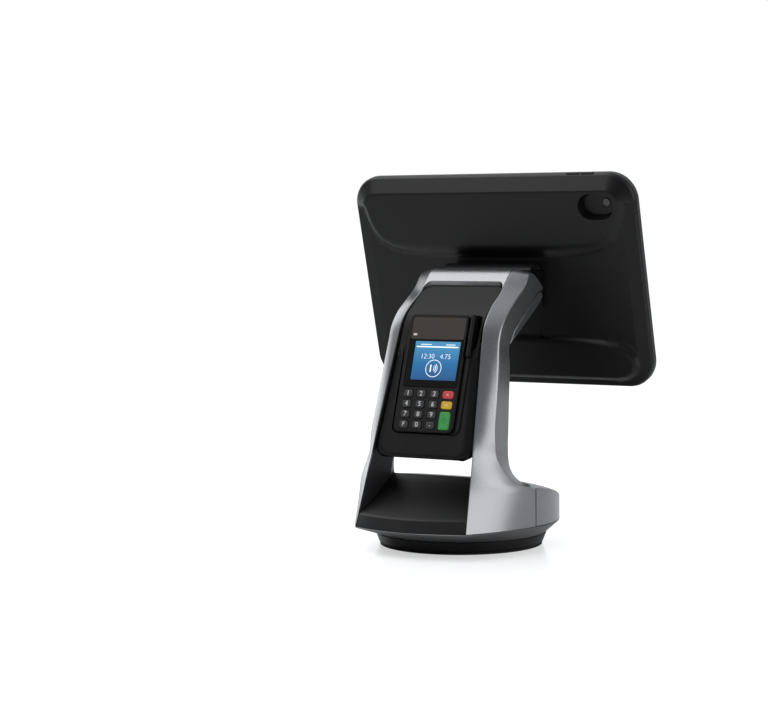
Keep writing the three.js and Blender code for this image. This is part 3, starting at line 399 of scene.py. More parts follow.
rim = rim_outline()
tray = skin("underside_tray", [
    scaled_to(rim, 12, 11.2),
    scaled_to(rim, 74.2, 11.2),
    scaled_to(rim, 75, 11.7),
    [(x, y, 20.9) for x, y in rim_outline(0.6)],
    [(x, y, 21.6) for x, y in rim],
    [(x, y, 22.0) for x, y in rim_outline(0.4)],
    [(x, y, 22.0) for x, y in rim_outline(3)],
    scaled_to(rim, 71, 14.2),
    scaled_to(rim, 12, 14.2),
], loop=True)
assign(smooth(tray), "stand", "silver_paint", silver_paint_painted_shade, "base_tray")
paint_solids(steel, "ballast_plate")

# ---- rear cap ----
# The drum's removable rear half, die-cast and painted like the arch. Its top is
# domed and falls to the rear, with a rounded edge, and it meets the arch in a fine seam.
REAR_TOP_Z, SEAM_TOP_Z, CROWN = 42, 54.4, 6
CAP_FRONT_Y = SEAM_Y + 0.35
EDGE_ROUND = 1.8
FALL_LENGTH = 78
CAP_FOOT = 22.6
CAP_CENTRE_Y = 33


def drum_edge_z(y):
    """Height of the drum's top at its rim, which falls to the rear."""
    t = min(max((y - SEAM_Y) / FALL_LENGTH, 0), 1)
    return REAR_TOP_Z + (SEAM_TOP_Z - REAR_TOP_Z) * math.cos(t * math.pi / 2) ** 2


def drum_top_z(x, y):
    r = min(math.hypot(x, y) / DRUM_RADIUS, 1)
    return drum_edge_z(y) + CROWN * (1 - r ** 4)


def cap_outline():
    start = math.asin(CAP_FRONT_Y / DRUM_RADIUS)
    arc = [mix(start, math.pi - start, i / 110) for i in range(111)]
    points = [(DRUM_RADIUS * math.cos(a), DRUM_RADIUS * math.sin(a)) for a in arc]
    points += [(mix(points[-1][0], points[0][0], i / 40), CAP_FRONT_Y) for i in range(1, 40)]
    return points


outline = cap_outline()
rings = [[(x, y, CAP_FOOT) for x, y in outline],
         [(x, y, CAP_FOOT + 0.4) for x, y in outline],
         [(x, y, drum_top_z(x, y) - EDGE_ROUND) for x, y in outline]]
for step in list(range(1, 7)) + [8, 11, 15, 20, 26, 33, 41, 50, 60, 70, 80]:
    depth_in = EDGE_ROUND * (1 - math.cos(step / 6 * math.pi / 2)) if step <= 6 else EDGE_ROUND + (step - 6)
    drop = EDGE_ROUND * (1 - math.sin(step / 6 * math.pi / 2)) if step <= 6 else 0
    k = 1 - depth_in / 84
    ring = []
    for x, y in outline:
        on_seam = y <= CAP_FRONT_Y + 0.01
        px, py = x * k, mix(CAP_CENTRE_Y, y, k)
        if on_seam and step <= 6:
            py = CAP_FRONT_Y + depth_in * 0.02
        ring.append((px, py, drum_top_z(px, py) - drop))
    rings.append(ring)
cap = ease_edges(skin("rear_drum_cap", rings), 0.35, 2, 40)
assign(smooth(cap, 40), "stand", "silver_paint", silver_paint, "base_rear_cap")


def sheet_mesh(name, rows, thickness):
    """A moulded wall: a grid of points, given its thickness inwards."""
    wide = len(rows[0])
    faces = [(r * wide + c, r * wide + c + 1, (r + 1) * wide + c + 1, (r + 1) * wide + c)
             for r in range(len(rows) - 1) for c in range(wide - 1)]
    piece = made_of(name, [p for row in rows for p in row], faces)
    return apply_step(piece, "SOLIDIFY", thickness=thickness * MM, offset=-1)


plate_rows = []
for i in range(9):
    y = mix(CAP_FRONT_Y + 0.9, -6.5, i / 8)
    plate_rows.append([(x, y, drum_top_z(x, y) + 0.35) for x in (mix(-66, 66, j / 40) for j in range(41))])
wiring_plate = ease_edges(sheet_mesh("wiring_plate", plate_rows, 1.2), 0.2, 2, 50)
assign(smooth(wiring_plate), "stand", "silver_paint", silver_paint)

# ---- arch ----
# One aluminium casting, painted silver: two leaning legs that flare into the drum's
# wall, and the head that runs back from the knee. The rails below carry its section.
LEAN = math.radians(18.5)
LEG_TAPER = 0.0772
BEVEL_WIDTH = 13.5
KNEE_Z = 178
HEAD_HALF = 54.5
ACROSS = 8


def leg_gap(z):
    return FOOT_HALF - LEG_TAPER * (z - RIM_Z)


def leg_front(z):
    return FOOT_Y + math.tan(LEAN) * (z - RIM_Z)


def leg_crease(z):
    return (leg_gap(z) + BEVEL_WIDTH, leg_front(z) + 14.6 - 0.08 * (z - 98), z)


def leg_rear(z):
    return (leg_gap(z) + BEVEL_WIDTH, leg_front(98) + 38.7 + 0.209 * (z - 98), z)


KNEE_Y = leg_front(KNEE_Z)
PANEL_HALF = leg_gap(KNEE_Z) - 2.2
seam_point = (SEAM_X, SEAM_Y + 0.7, SEAM_TOP_Z)


def towards_seam(point, tx, ty):
    return (mix(point[0], seam_point[0], tx), mix(point[1], seam_point[1], ty), point[2])


wall = [((leg_gap(z), leg_front(z), z), (SEAM_X, SEAM_Y, cz), (SEAM_X - 6, SEAM_Y, cz + lift), WALL_BULGE)
        for z, cz, lift in ((22.4, 22.4, 0), (38.4, 38.4, 0), (52.0, 54.4, 0.8))]
flare = [((leg_gap(z), leg_front(z), z), crease, towards_seam(leg_rear(rz), rx, ry), bulge)
         for z, crease, rz, rx, ry, bulge in (
             (57, (81.5, -26.4, 56.1), 58.2, 0.80, 0.80, 3.9),
             (61, (78.1, -34.1, 58.4), 60.8, 0.50, 0.45, 3.4),
             (66, (74.1, -40.5, 62.1), 66.0, 0.24, 0.22, 2.8),
             (72, (70.0, -45.1, 68.2), 73.0, 0.08, 0.08, 2.1),
             (79, (65.8, -48.0, 75.5), 80.5, 0.02, 0.02, 1.5),
             (86, (62.8, -49.9, 82.1), 88.0, 0.0, 0.0, 1.1))]
plain = [((leg_gap(z), leg_front(z), z), leg_crease(z), leg_rear(z), 0.8) for z in (98, 131.6, 159.6)]
head = [((x, KNEE_Y + fy, KNEE_Z + fz), (HEAD_HALF, KNEE_Y + cy, KNEE_Z + cz),
         (HEAD_HALF, KNEE_Y + ry, KNEE_Z + rz), 0.6)
        for x, fy, fz, cy, cz, ry, rz in (
            (leg_gap(KNEE_Z), 0, 0, 8.2, 0.5, 27.4, -4.5),
            (leg_gap(KNEE_Z) - 0.8, 5.4, 13.7, 13.7, 13.5, 35.7, 9.6),
            (leg_gap(KNEE_Z) - 1.0, 11.5, 22, 22.5, 23.3, 44, 15.1),
            (PANEL_HALF + 0.4, 23.3, 31.8, 36.4, 33, 54, 21.7),
            (PANEL_HALF, 36.5, 39.9, 51.1, 42, 64, 28.4),
            (PANEL_HALF, 68.4, 60.9, 71.5, 57.4, 74.4, 35.3),
            (PANEL_HALF, 81, 53.7, 81, 52.6, 82.9, 40.9),
            (PANEL_HALF, 91.6, 45.2, 91.8, 44.6, 89.5, 41.4))]


def through(stations, spacing):
    """Stations blended into evenly spaced ones, along smooth rails."""
    rails = [[*front, *crease, *rear, bulge] for front, crease, rear, bulge in stations]
    ends = [0.0]
    for a, b in zip(rails, rails[1:]):
        ends.append(ends[-1] + max(math.dist(a[k:k + 3], b[k:k + 3]) for k in (0, 3, 6)))
    tangents = []
    for i in range(len(rails)):
        low, high = max(i - 1, 0), min(i + 1, len(rails) - 1)
        if low == i or high == i:
            tangents.append([(q - p) / (ends[high] - ends[low]) for p, q in zip(rails[low], rails[high])])
            continue
        before, after = ends[i] - ends[low], ends[high] - ends[i]
        tangents.append([((q - m) / after * before + (m - p) / before * after) / (before + after)
                         for p, m, q in zip(rails[low], rails[i], rails[high])])
    found = []
    for i in range(len(rails) - 1):
        run = ends[i + 1] - ends[i]
        steps = max(1, round(run / spacing))
        for j in range(steps + (i == len(rails) - 2)):
            t = j / steps
            h = (2 * t ** 3 - 3 * t * t + 1, t ** 3 - 2 * t * t + t, 3 * t * t - 2 * t ** 3, t ** 3 - t * t)
            row = [h[0] * p + h[1] * run * u + h[2] * q + h[3] * run * v
                   for p, u, q, v in zip(rails[i], tangents[i], rails[i + 1], tangents[i + 1])]
            found.append((tuple(row[0:3]), tuple(row[3:6]), tuple(row[6:9]), row[9]))
    return found


def section(station):
    """A leg's outline at one station: front edge, bulged face, crease, rear edge, inner corner."""
    front, crease, rear, bulge = station
    return across_front(front, crease, bulge, ACROSS) + [rear, (front[0], rear[1], rear[2])]


leg_stations = through(wall, 6)[:-1] + through([wall[-1]] + flare + plain + head, 2.6)


def sharp_rails(piece, rails, count, width):
    """Rounds the long edges that follow the given points of each ring."""
    weights = piece.data.attributes.new("bevel_weight_edge", "FLOAT", "EDGE")
    for edge in piece.data.edges:
        a, b = edge.vertices
        if a % count in rails and abs(a - b) == count:
            weights.data[edge.index].value = 1.0
    return apply_step(piece, "BEVEL", width=width * MM, segments=3, limit_method="WEIGHT")


def one_leg(name, side):
    rings = [[(side * x, y, z) for x, y, z in section(s)] for s in leg_stations]
    return sharp_rails(skin(name, rings), {0, ACROSS, ACROSS + 1}, ACROSS + 3, 1.1)


rail = [s[0] for s in leg_stations if s[0][1] > KNEE_Y + 38]


def rail_z(y):
    """Height of the head's top edge at a depth."""
    for (_, y0, z0), (_, y1, z1) in zip(rail, rail[1:]):
        if y <= y1:
            return mix(z0, z1, (y - y0) / (y1 - y0))
    return rail[-1][2]


BAR_FRONT_Y = KNEE_Y + 49
CORNER = 6.5


def bar_ring(x):
    """The crossbar's section, drawn forward round the recess's upper corners."""
    past = max(abs(x) - (PANEL_HALF - CORNER), 0)
    front_y = BAR_FRONT_Y - (CORNER - math.sqrt(max(CORNER ** 2 - past ** 2, 0)))
    top = [front_y + 0.001] + [p[1] for p in rail if p[1] > BAR_FRONT_Y + 1]
    ring = [(x, y, rail_z(y)) for y in top]
    under = [(90.5, 38.8), (86, 38.5), (80, 44), (69.5, 52)]
    ring += [(x, KNEE_Y + y, KNEE_Z + z) for y, z in under]
    ring.append((x, front_y + 1.2, rail_z(front_y) - 4.6))
    return ring


bar_x = [PANEL_HALF + 0.05 - CORNER * (1 - math.cos(i / 9 * math.pi / 2)) for i in range(10)]
bar_x = sorted({round(v, 4) for v in bar_x + [-v for v in bar_x] + [24, 12, 0, -12, -24]})
legs = [one_leg("arch_leg_right", 1), one_leg("arch_leg_left", -1)]
bar = ease_edges(skin("arch_bar", [bar_ring(x) for x in bar_x]), 0.6, 2, 50)
arch = joined("silver_arch", *legs, bar)
assign(smooth(arch, 38), "stand", "silver_paint", silver_paint, "stand_arch")

# ---- ramp ----
# Soft-touch moulding between the legs: an upright apron at the front, then a slope
# up and back to the window under the PIN pad.
APRON_HEIGHT = 11
RAMP_TOP_Z = 61.7
RAMP_REAR_Y = -31
APRON_SETBACK = 1.2
RAMP_SAG = 1.6
RAMP_STEPS = 28
ramp_plastic = finish("ramp_plastic", "161617", 0.5, grain=2600, depth=0.12, shade=0.14,
                      Specular_IOR_Level=0.4)


def ramp_rows():
    """Rows up the apron, over its rounded edge, back up the slope and over the sill."""
    front_z = RIM_Z + APRON_HEIGHT
    across = [mix(-1, 1, i / RAMP_STEPS) for i in range(RAMP_STEPS + 1)]
    rows = []
    for back, z in ((0, RIM_Z + 0.1), (0, RIM_Z + 3), (0, front_z - 1.6), (0.35, front_z - 0.5),
                    (1.2, front_z + 0.3)):
        half = leg_gap(z) + 0.1
        lean = APRON_SETBACK + math.tan(LEAN) * (z - RIM_Z)
        rows.append([(u * half, apron_y(u * half) + back + lean * u ** 2, z) for u in across])
    start = rows[-1]
    for k in range(1, 13):
        t = k / 12
        half = leg_gap(mix(start[0][2], RAMP_TOP_Z, t)) + 0.4
        sag = RAMP_SAG * math.sin(math.pi * t)
        rows.append([(u * half, mix(y, RAMP_REAR_Y, t), mix(z, RAMP_TOP_Z, t) - sag)
                     for u, (_, y, z) in zip(across, start)])
    for back, drop in ((1.2, -0.25), (3, -0.1), (10.4, 1.2)):
        rows.append([(u * half, RAMP_REAR_Y + back, RAMP_TOP_Z - drop) for u in across])
    return rows


ramp = sheet_mesh("ramp_moulding", ramp_rows(), 2.6)
assign(smooth(ramp, 40), "stand", "soft_black", ramp_plastic, "ramp_tray")

# ---- leg liners and rear cover ----
# Black plates clipped into the legs' open inner sides, and the cover over the
# wiring: a neck plate between the legs, and the painted shell under the head.
LINER_SETBACK, LINER_FLARE, FLARE_TOP_Z = 2.2, 0.11, 48
HEAD_LINES = ((28.6, -2.7, 36.4, 9.1), (36.8, 1.8, 45.4, 15.4), (45.1, 6.4, 54.4, 21.3),
              (62.7, 16.8, 65, 28.4), (80.4, 27.2, 75.0, 34.9), (88, 32.6, 83.2, 40.2),
              (91.6, 36.4, 89.6, 41.2))
liner_plastic = finish("liner_plastic", "262628", 0.55, grain=2600, depth=0.1, shade=0.1,
                       Specular_IOR_Level=0.4)
for side, label in ((1, "right"), (-1, "left")):
    rings = []
    for i in range(13):
        z = mix(RIM_Z + 2, KNEE_Z - 2, i / 12)
        inner = side * (leg_gap(z) - 0.25)
        outer = inner + side * 2
        front_y = leg_front(z) + LINER_SETBACK + LINER_FLARE * max(FLARE_TOP_Z - z, 0)
        rear_y = leg_rear(z)[1] - 1.6
        rings.append([(inner, front_y, z), (outer, front_y, z), (outer, rear_y, z), (inner, rear_y, z)])
    liner = ease_edges(skin("leg_liner_" + label, rings), 0.3, 2, 40)
    assign(smooth(liner), "stand", "soft_black", liner_plastic, "liner_" + label)


def strip(half, near, far):
    """A section of a plate that runs across: two depths and heights at either end."""
    return [(-half, *near), (half, *near), (half, *far), (-half, *far)]


cover_neck = []
for z in (RAMP_TOP_Z + 24, 98, 131.6, 159.6, KNEE_Z - 1):
    rear_y = leg_rear(z)[1] - 1.5
    cover_neck.append(strip(leg_gap(z) + 0.6, (rear_y, z), (rear_y - 2.2, z)))
cover_neck.append(strip(leg_gap(KNEE_Z) - 1.5, (KNEE_Y + 34, KNEE_Z + 2), (KNEE_Y + 31, KNEE_Z + 4.5)))
neck = ease_edges(skin("neck_cover", cover_neck), 0.5, 2, 40)
assign(smooth(neck), "stand", "soft_black", liner_plastic)

cover_head = [strip(HEAD_HALF - 0.2, (KNEE_Y + low_y, KNEE_Z + low_z),
                    (KNEE_Y + high_y + 0.3, KNEE_Z + high_z - 0.35))
              for low_y, low_z, high_y, high_z in HEAD_LINES]
under_head = ease_edges(skin("under_head_cover", cover_head), 1.2, 3, 40)
assign(smooth(under_head), "stand", "silver_paint", silver_paint, "rear_cover")

# ---- cradle ----
# The black moulding that holds the PIN pad between the legs, rounded at its lower
# corners and rolled back at its sides, with a chamfered top beside the swipe slot.
CRADLE_BOTTOM, CRADLE_TOP = 62.6, 166
CRADLE_CORNER, CHAMFER_START = 11, 148
PAD_LEFT, PAD_RIGHT = -32, 34
PAD_BOTTOM, PAD_TOP = 83.5, 188.5
face_place = Matrix.Translation((0, FOOT_Y * MM, RIM_Z * MM)) @ Matrix.Rotation(math.pi / 2 - LEAN, 4, "X")
cradle_plastic = finish("cradle_plastic", "0f0f10", 0.42, grain=2400, depth=0.05, shade=0.12,
                        Specular_IOR_Level=0.2)


def cradle_half(q):
    """Half width at q up the slope, just inside the legs and drawn in round the lower corners."""
    past = max(CRADLE_BOTTOM + CRADLE_CORNER - q, 0)
    rim_half = leg_gap(RIM_Z + q * math.cos(LEAN)) - 0.8
    return rim_half - (CRADLE_CORNER - math.sqrt(max(CRADLE_CORNER ** 2 - past ** 2, 0)))


def cradle_rows():
    """The face, rolled back at its sides and foot, and falling away past its shoulders."""
    stops = [CRADLE_BOTTOM + CRADLE_CORNER * (1 - math.cos(i / 10 * math.pi / 2)) for i in range(11)]
    stops += [mix(CRADLE_BOTTOM + CRADLE_CORNER, CHAMFER_START, i / 12) for i in range(1, 13)]
    stops += [CHAMFER_START + 1.5 * i for i in range(1, 13)]
    rows = []
    for q in stops:
        half = max(cradle_half(q), 1)
        low = 1.4 * max(1 - (q - CRADLE_BOTTOM) / 2.5, 0) ** 2
        row = []
        for i in range(49):
            u = mix(-1, 1, i / 48)
            x = math.copysign(1 - (1 - abs(u)) ** 1.35, u) * half
            edge = half - abs(x)
            roll = 4.5 * max(1 - edge / 9, 0) ** 2
            shoulder = mix(CRADLE_TOP, CHAMFER_START + 1, min(max(edge / 12, 0), 1))
            row.append((x, q, 0.6 - roll - low - 0.8 * max(q - shoulder, 0)))
        rows.append(row)
    return rows


def box_piece(name, x0, x1, y0, y1, z0, z1):
    """A block between two values along each axis."""
    spans = ((x0, x1), (y0, y1), (z0, z1))
    bpy.ops.object.select_all(action="DESELECT")
    bpy.ops.mesh.primitive_cube_add(size=1, location=[(a + b) / 2 * MM for a, b in spans],
                                    scale=[(b - a) * MM for a, b in spans])
    return started(name)


def round_corners(piece, radius, segments=6):
    """Rounds the four edges that stand along the piece's own Z, before it is put in place."""
    select_only(piece)
    bpy.ops.object.mode_set(mode="EDIT")
    bpy.ops.mesh.select_mode(type="EDGE")
    shape = bmesh.from_edit_mesh(piece.data)
    for edge in shape.edges:
        run = edge.verts[1].co - edge.verts[0].co
        edge.select_set(run.length > 0 and abs(run.normalized().z) > 0.99)
    shape.select_flush_mode()
    bmesh.update_edit_mesh(piece.data)
    bpy.ops.mesh.bevel(offset=radius * MM, segments=segments)
    bpy.ops.object.mode_set(mode="OBJECT")
    return piece


def cut(piece, tool, operation="DIFFERENCE"):
    """Takes the tool's shape out of the piece, or fuses it on, and removes the tool."""
    apply_step(piece, "BOOLEAN", operation=operation, solver="EXACT", object=tool)
    bpy.data.objects.remove(tool)


def placed(piece, place):
    """Carries a piece that was drawn flat to where it belongs."""
    piece.data.transform(place)
    return piece


def solid_under(name, rows, floor_at):
    """A block with a shaped top: the grid's border drawn down to its floor."""
    deep, wide = len(rows), len(rows[0])
    top = [p for row in rows for p in row]
    low = [(x, y, floor_at(y)) for x, y, _ in top]
    faces = []
    for r in range(deep - 1):
        for c in range(wide - 1):
            square = [r * wide + c, r * wide + c + 1, (r + 1) * wide + c + 1, (r + 1) * wide + c]
            faces += [square, [len(top) + v for v in reversed(square)]]
    border = list(range(wide)) + [r * wide + wide - 1 for r in range(1, deep - 1)]
    border += [(deep - 1) * wide + c for c in reversed(range(wide))]
    border += [r * wide for r in reversed(range(1, deep - 1))]
    faces += [(b, a, a + len(top), b + len(top)) for a, b in zip(border, border[1:] + border[:1])]
    return closed_up(made_of(name, top + low, faces))


def cradle_floor(q):
    """The underside rises towards the back, so the lower edge is thin."""
    return mix(-3.4, -19, min((q - CRADLE_BOTTOM) / 20, 1))


cradle = solid_under("cradle_moulding", cradle_rows(), cradle_floor)
pocket = box_piece("pocket", PAD_LEFT - 0.5, PAD_RIGHT + 0.5, PAD_BOTTOM - 0.5, 220, -16.3, 12)
cut(cradle, round_corners(pocket, 6.4))
cradle = placed(ease_edges(cradle, 0.7, 2, 50), face_place)
assign(smooth(cradle, 45), "stand", "soft_black", cradle_plastic, "cradle")
paint_solids(steel, "cradle_bracket")

# ---- upper panel ----
# The dark panel set into the arch above the PIN pad, with a thin shadow gap all round.
PANEL_LINE = [(-3.5, -12), (0.5, -4), (3.5, 3), (7.2, 12), (12.4, 20.4), (19, 26.6), (27.4, 32.3),
              (37, 38.9), (48.2, 46.3)]
PANEL_CORNER = 5.5
panel_plastic = finish("panel_plastic", "171718", 0.5, grain=2400, depth=0.1, shade=0.12,
                       Specular_IOR_Level=0.2)


def panel_rows():
    """Rows up the panel, whose side view is a smooth curve through its points."""
    last = len(PANEL_LINE) - 1
    smooth_line = []
    for i in range(last):
        before, a, b, after = (PANEL_LINE[min(max(n, 0), last)] for n in (i - 1, i, i + 1, i + 2))
        for t in (0, 0.25, 0.5, 0.75):
            smooth_line.append([0.5 * (2 * a[n] + (b[n] - before[n]) * t
                                       + (2 * before[n] - 5 * a[n] + 4 * b[n] - after[n]) * t * t
                                       + (3 * a[n] - before[n] - 3 * b[n] + after[n]) * t ** 3)
                                for n in (0, 1)])
    smooth_line.append(PANEL_LINE[last])
    corner_y = PANEL_LINE[last][0] - PANEL_CORNER
    rows = []
    for y, z in smooth_line:
        past = max(y - corner_y, 0)
        half = PANEL_HALF - 0.5 - (PANEL_CORNER - math.sqrt(max(PANEL_CORNER ** 2 - past ** 2, 0)))
        rows.append([(mix(-half, half, i / 20), KNEE_Y + y, KNEE_Z + z) for i in range(21)])
    return rows


panel = sheet_mesh("upper_recess_panel", panel_rows(), 2.4)
pad_room = box_piece("pad_room", PAD_LEFT - 1, PAD_RIGHT + 2.6, PAD_BOTTOM, PAD_TOP + 1.6, -17, 20)
cut(panel, placed(round_corners(pad_room, 4), face_place))
assign(smooth(panel), "stand", "soft_black", panel_plastic, "upper_panel")

# ---- PIN pad shell ----
# Two black mouldings screwed together: the shell has a rounded front edge, wells for
# the keys, a seat for the header and lens, the swipe groove and the card slot.
PAD_FRONT, PAD_BACK = 4, -16
FACE_LEFT, FACE_RIGHT = -29.2, 28.4
RIDGE_LEFT = 30.2
KEY_LEFT, KEY_PITCH_X, KEY_PITCH_Y = -19, 12.8, 9.05
KEY_SIZE, COLOUR_KEY_WIDTH, COLOUR_KEY_HEIGHT = (8.8, 6.5), 10.2, 6.8
KEY_GAP = 0.3
ROW_TOP = PAD_BOTTOM + 33.6
LENS_TOP = PAD_TOP - 23.4
HEADER_TOP = PAD_TOP - 3.4
LENS_BOTTOM = ROW_TOP + 5.9
pad_plastic = finish("pad_plastic", "0b0b0c", 0.34, grain=2400, depth=0.06, shade=0.12,
                     Specular_IOR_Level=0.2)

keys = []
for index, label in enumerate(("1", "2", "3", "4", "5", "6", "7", "8", "9", "function", "0", "point")):
    keys.append((label, KEY_LEFT + index % 3 * KEY_PITCH_X, ROW_TOP - index // 3 * KEY_PITCH_Y,
                 *KEY_SIZE, "key_black"))
for label, rows_down, taller, colour in (("cancel", 0, 0, "key_red"), ("clear", 1, 0, "key_yellow"),
                                         ("enter", 2.5, KEY_PITCH_Y, "key_green")):
    keys.append((label, KEY_LEFT + 3 * KEY_PITCH_X + 0.2, ROW_TOP - rows_down * KEY_PITCH_Y,
                 COLOUR_KEY_WIDTH, COLOUR_KEY_HEIGHT + taller, colour))

blocks = []
for name, box, corner, corner_steps, ease, ease_steps in (
        ("pad_shell", (PAD_LEFT, PAD_RIGHT, PAD_BOTTOM, PAD_TOP, PAD_BACK, 0.7), 6, 8, 1.6, 4),
        ("front", (FACE_LEFT, FACE_RIGHT, PAD_BOTTOM + 0.4, PAD_TOP - 0.2, -2, PAD_FRONT), 5.5, 8, 0.9, 3),
        ("ridge", (RIDGE_LEFT, PAD_RIGHT, PAD_TOP - 38, PAD_TOP - 0.2, -2, PAD_FRONT + 0.9),
         1.6, 4, 1.3, 4)):
    blocks.append(ease_edges(round_corners(box_piece(name, *box), corner, corner_steps), ease, ease_steps, 50))
shell, front_block, swipe_ridge = blocks
cut(shell, front_block, "UNION")
cut(shell, swipe_ridge, "UNION")
wells = []
for label, x, y, width, height, _ in keys:
    reach_x, reach_y = width / 2 + KEY_GAP, height / 2 + KEY_GAP
    wells.append(round_corners(box_piece("well", x - reach_x, x + reach_x, y - reach_y, y + reach_y, -0.6, 8),
                               1.7, 3))
wells.append(round_corners(box_piece("well", -25.8, 26.8, LENS_BOTTOM, HEADER_TOP + 0.3, 2.8, 8), 2.2, 4))
wells.append(box_piece("well", FACE_RIGHT, RIDGE_LEFT, PAD_TOP - 39, PAD_TOP + 5, -0.4, 8))
wells.append(box_piece("well", -26.6, 28.6, PAD_TOP - 10, PAD_TOP + 5, -7.8, -6.2))
cut(shell, joined("wells", *wells))
shell = smooth(placed(shell, face_place), 40)
assign(shell, "stand", "soft_black", pad_plastic, "pad_rear_case", "pad_bezel")

paint_solids(rubber, "keypad_mat")
paint_solids(finish("circuit_board", "1d5a34", 0.5, grain=700, depth=0.1), "main_board")
paint_solids(finish("battery_wrap", "8d9096", 0.45, grain=500, depth=0.05), "battery_pack")
paint_solids(nylon, "chip_reader")
paint_solids(steel, "magstripe_head")

# ---- header, lens and screen ----
# The header is a gloss brown-grey strip with a small status light, and the lens
# is black glass printed round a window over the lit colour display.
PLATE_LEFT, PLATE_RIGHT, PLATE_LOW = -25.5, 26.5, 2.9
SCREEN_X, SCREEN_WIDTH = 2, 44.2
SCREEN_LEFT, SCREEN_RIGHT = SCREEN_X - SCREEN_WIDTH / 2, SCREEN_X + SCREEN_WIDTH / 2
SCREEN_LOW, SCREEN_HIGH = LENS_BOTTOM + 6.6, LENS_TOP - 1.3
header_gloss = finish("header_gloss", "3a332f", 0.3, grain=1500, depth=0.01, shade=0.1,
                      Specular_IOR_Level=0.22)
lens_glass = finish("lens_glass", "040404", 0.14, grain=900, depth=0.0, shade=0.05, gloss=0.02,
                    Specular_IOR_Level=0.06)


def plate_piece(name, box, radius, ease=0.25):
    """A thin plate with rounded corners and eased edges."""
    return ease_edges(round_corners(box_piece(name, *box), radius, 5), ease, 2, 50)


header = plate_piece("header_strip", (PLATE_LEFT, PLATE_RIGHT, LENS_TOP + 0.3, HEADER_TOP, PLATE_LOW, 4.05),
                     1.9)
cut(header, box_piece("light_room", -23.7, -19.3, LENS_TOP + 3.1, LENS_TOP + 5.9, 2, 8))
assign(smooth(placed(header, face_place)), "stand", "header", header_gloss, "header_plate")

lens = plate_piece("display_window", (PLATE_LEFT, PLATE_RIGHT, LENS_BOTTOM + 0.3, LENS_TOP, PLATE_LOW, 4.0),
                   1.9)
cut(lens, box_piece("window", SCREEN_LEFT, SCREEN_RIGHT, SCREEN_LOW, SCREEN_HIGH, 2, 8))
assign(smooth(placed(lens, face_place)), "stand", "dark_glass", lens_glass, "display_lens")

lit = bpy.data.materials.new("lit_screen")
lit.use_nodes = True
lit_tree = lit.node_tree
lit_shader = lit_tree.nodes["Principled BSDF"]
lit_place = add_node(lit_tree, "ShaderNodeTexCoord")
up_slope = add_node(lit_tree, "ShaderNodeSeparateXYZ")
screen_low_z, screen_high_z = ((RIM_Z + q * math.cos(LEAN)) * MM for q in (SCREEN_LOW, SCREEN_HIGH))
lit_map = add_node(lit_tree, "ShaderNodeMapRange",
                   values={"From Min": screen_low_z, "From Max": screen_high_z})
lit_ramp = add_node(lit_tree, "ShaderNodeValToRGB")
colour_stops(lit_ramp, (0, linear("07508a")), (1, linear("4595c4")), (0.45, linear("156ca6")))
wire(lit_tree, (lit_place, "Object", up_slope, 0), (up_slope, "Z", lit_map, "Value"),
     (lit_map, "Result", lit_ramp, "Fac"), (lit_ramp, "Color", lit_shader, "Emission Color"))
for socket, value in (("Base Color", linear("04101a")), ("Emission Strength", 0.95), ("Roughness", 0.3),
                      ("Specular IOR Level", 0.3)):
    lit_shader.inputs[socket].default_value = value
screen = plate_piece("colour_display", (SCREEN_LEFT + 0.05, SCREEN_RIGHT - 0.05, SCREEN_LOW + 0.05,
                                        SCREEN_HIGH - 0.05, 0.6, 3.5), 0.3, 0.1)
assign(smooth(placed(screen, face_place)), "stand", "lit_screen", lit, "display_module")

lamp_white = finish("lamp_white", "d8d6cc", 0.3, depth=0.0)
light = plate_piece("status_lamp", (-23.4, -19.6, LENS_TOP + 3.4, LENS_TOP + 5.6, 3.1, 4.1), 0.8, 0.2)
assign(smooth(placed(light, face_place)), "stand", "acetal", lamp_white, "status_light")

# ---- what the screen shows ----
# An amount, a rule under the status line, and a plain card-and-waves sign in a ring.
ART_Z, ART_THICKNESS = 3.5, 0.06
SIGN_Y = SCREEN_LOW + 10.4
screen_white = bpy.data.materials.new("screen_white")
screen_white.use_nodes = True
white_tree = screen_white.node_tree
white_shader = white_tree.nodes["Principled BSDF"]
speckle_place = add_node(white_tree, "ShaderNodeTexCoord")
speckle = add_node(white_tree, "ShaderNodeTexNoise", values={"Scale": 3000})
speckle_tone = add_node(white_tree, "ShaderNodeMapRange", values={"To Min": 0.75, "To Max": 0.95})
wire(white_tree, (speckle_place, "Object", speckle, "Vector"), (speckle, "Fac", speckle_tone, "Value"),
     (speckle_tone, "Result", white_shader, "Emission Color"))
white_shader.inputs["Base Color"].default_value = (0.5, 0.55, 0.6, 1)
white_shader.inputs["Emission Strength"].default_value = 0.9


def words(name, text, x, y, z, size, thin=0.0):
    """Raised lettering at a place on the leaning face, as a mesh."""
    bpy.ops.object.select_all(action="DESELECT")
    bpy.ops.object.text_add(location=(0, 0, 0))
    letters = bpy.context.object
    for setting, value in (("body", text), ("size", size * MM), ("offset", -thin * MM), ("align_x", "CENTER"),
                           ("align_y", "CENTER"), ("extrude", ART_THICKNESS / 2 * MM), ("resolution_u", 3)):
        setattr(letters.data, setting, value)
    bpy.ops.object.convert(target="MESH")
    letters = bpy.context.object
    letters.name = letters.data.name = name
    return placed(letters, Matrix.Translation((x * MM, y * MM, z * MM)))


def ring_arc(name, x, y, z, radius, width, start, end, steps=48):
    """A flat band bent round a centre on the leaning face."""
    rings = []
    inner, outer = radius - width / 2, radius + width / 2
    top = z + ART_THICKNESS
    for i in range(steps + 1):
        turn = math.radians(mix(start, end, i / steps))
        c, s = math.cos(turn), math.sin(turn)
        rings.append([(x + inner * c, y + inner * s, z), (x + outer * c, y + outer * s, z),
                      (x + outer * c, y + outer * s, top), (x + inner * c, y + inner * s, top)])
    whole = end - start >= 360
    return skin(name, rings[:-1] if whole else rings, loop=whole)


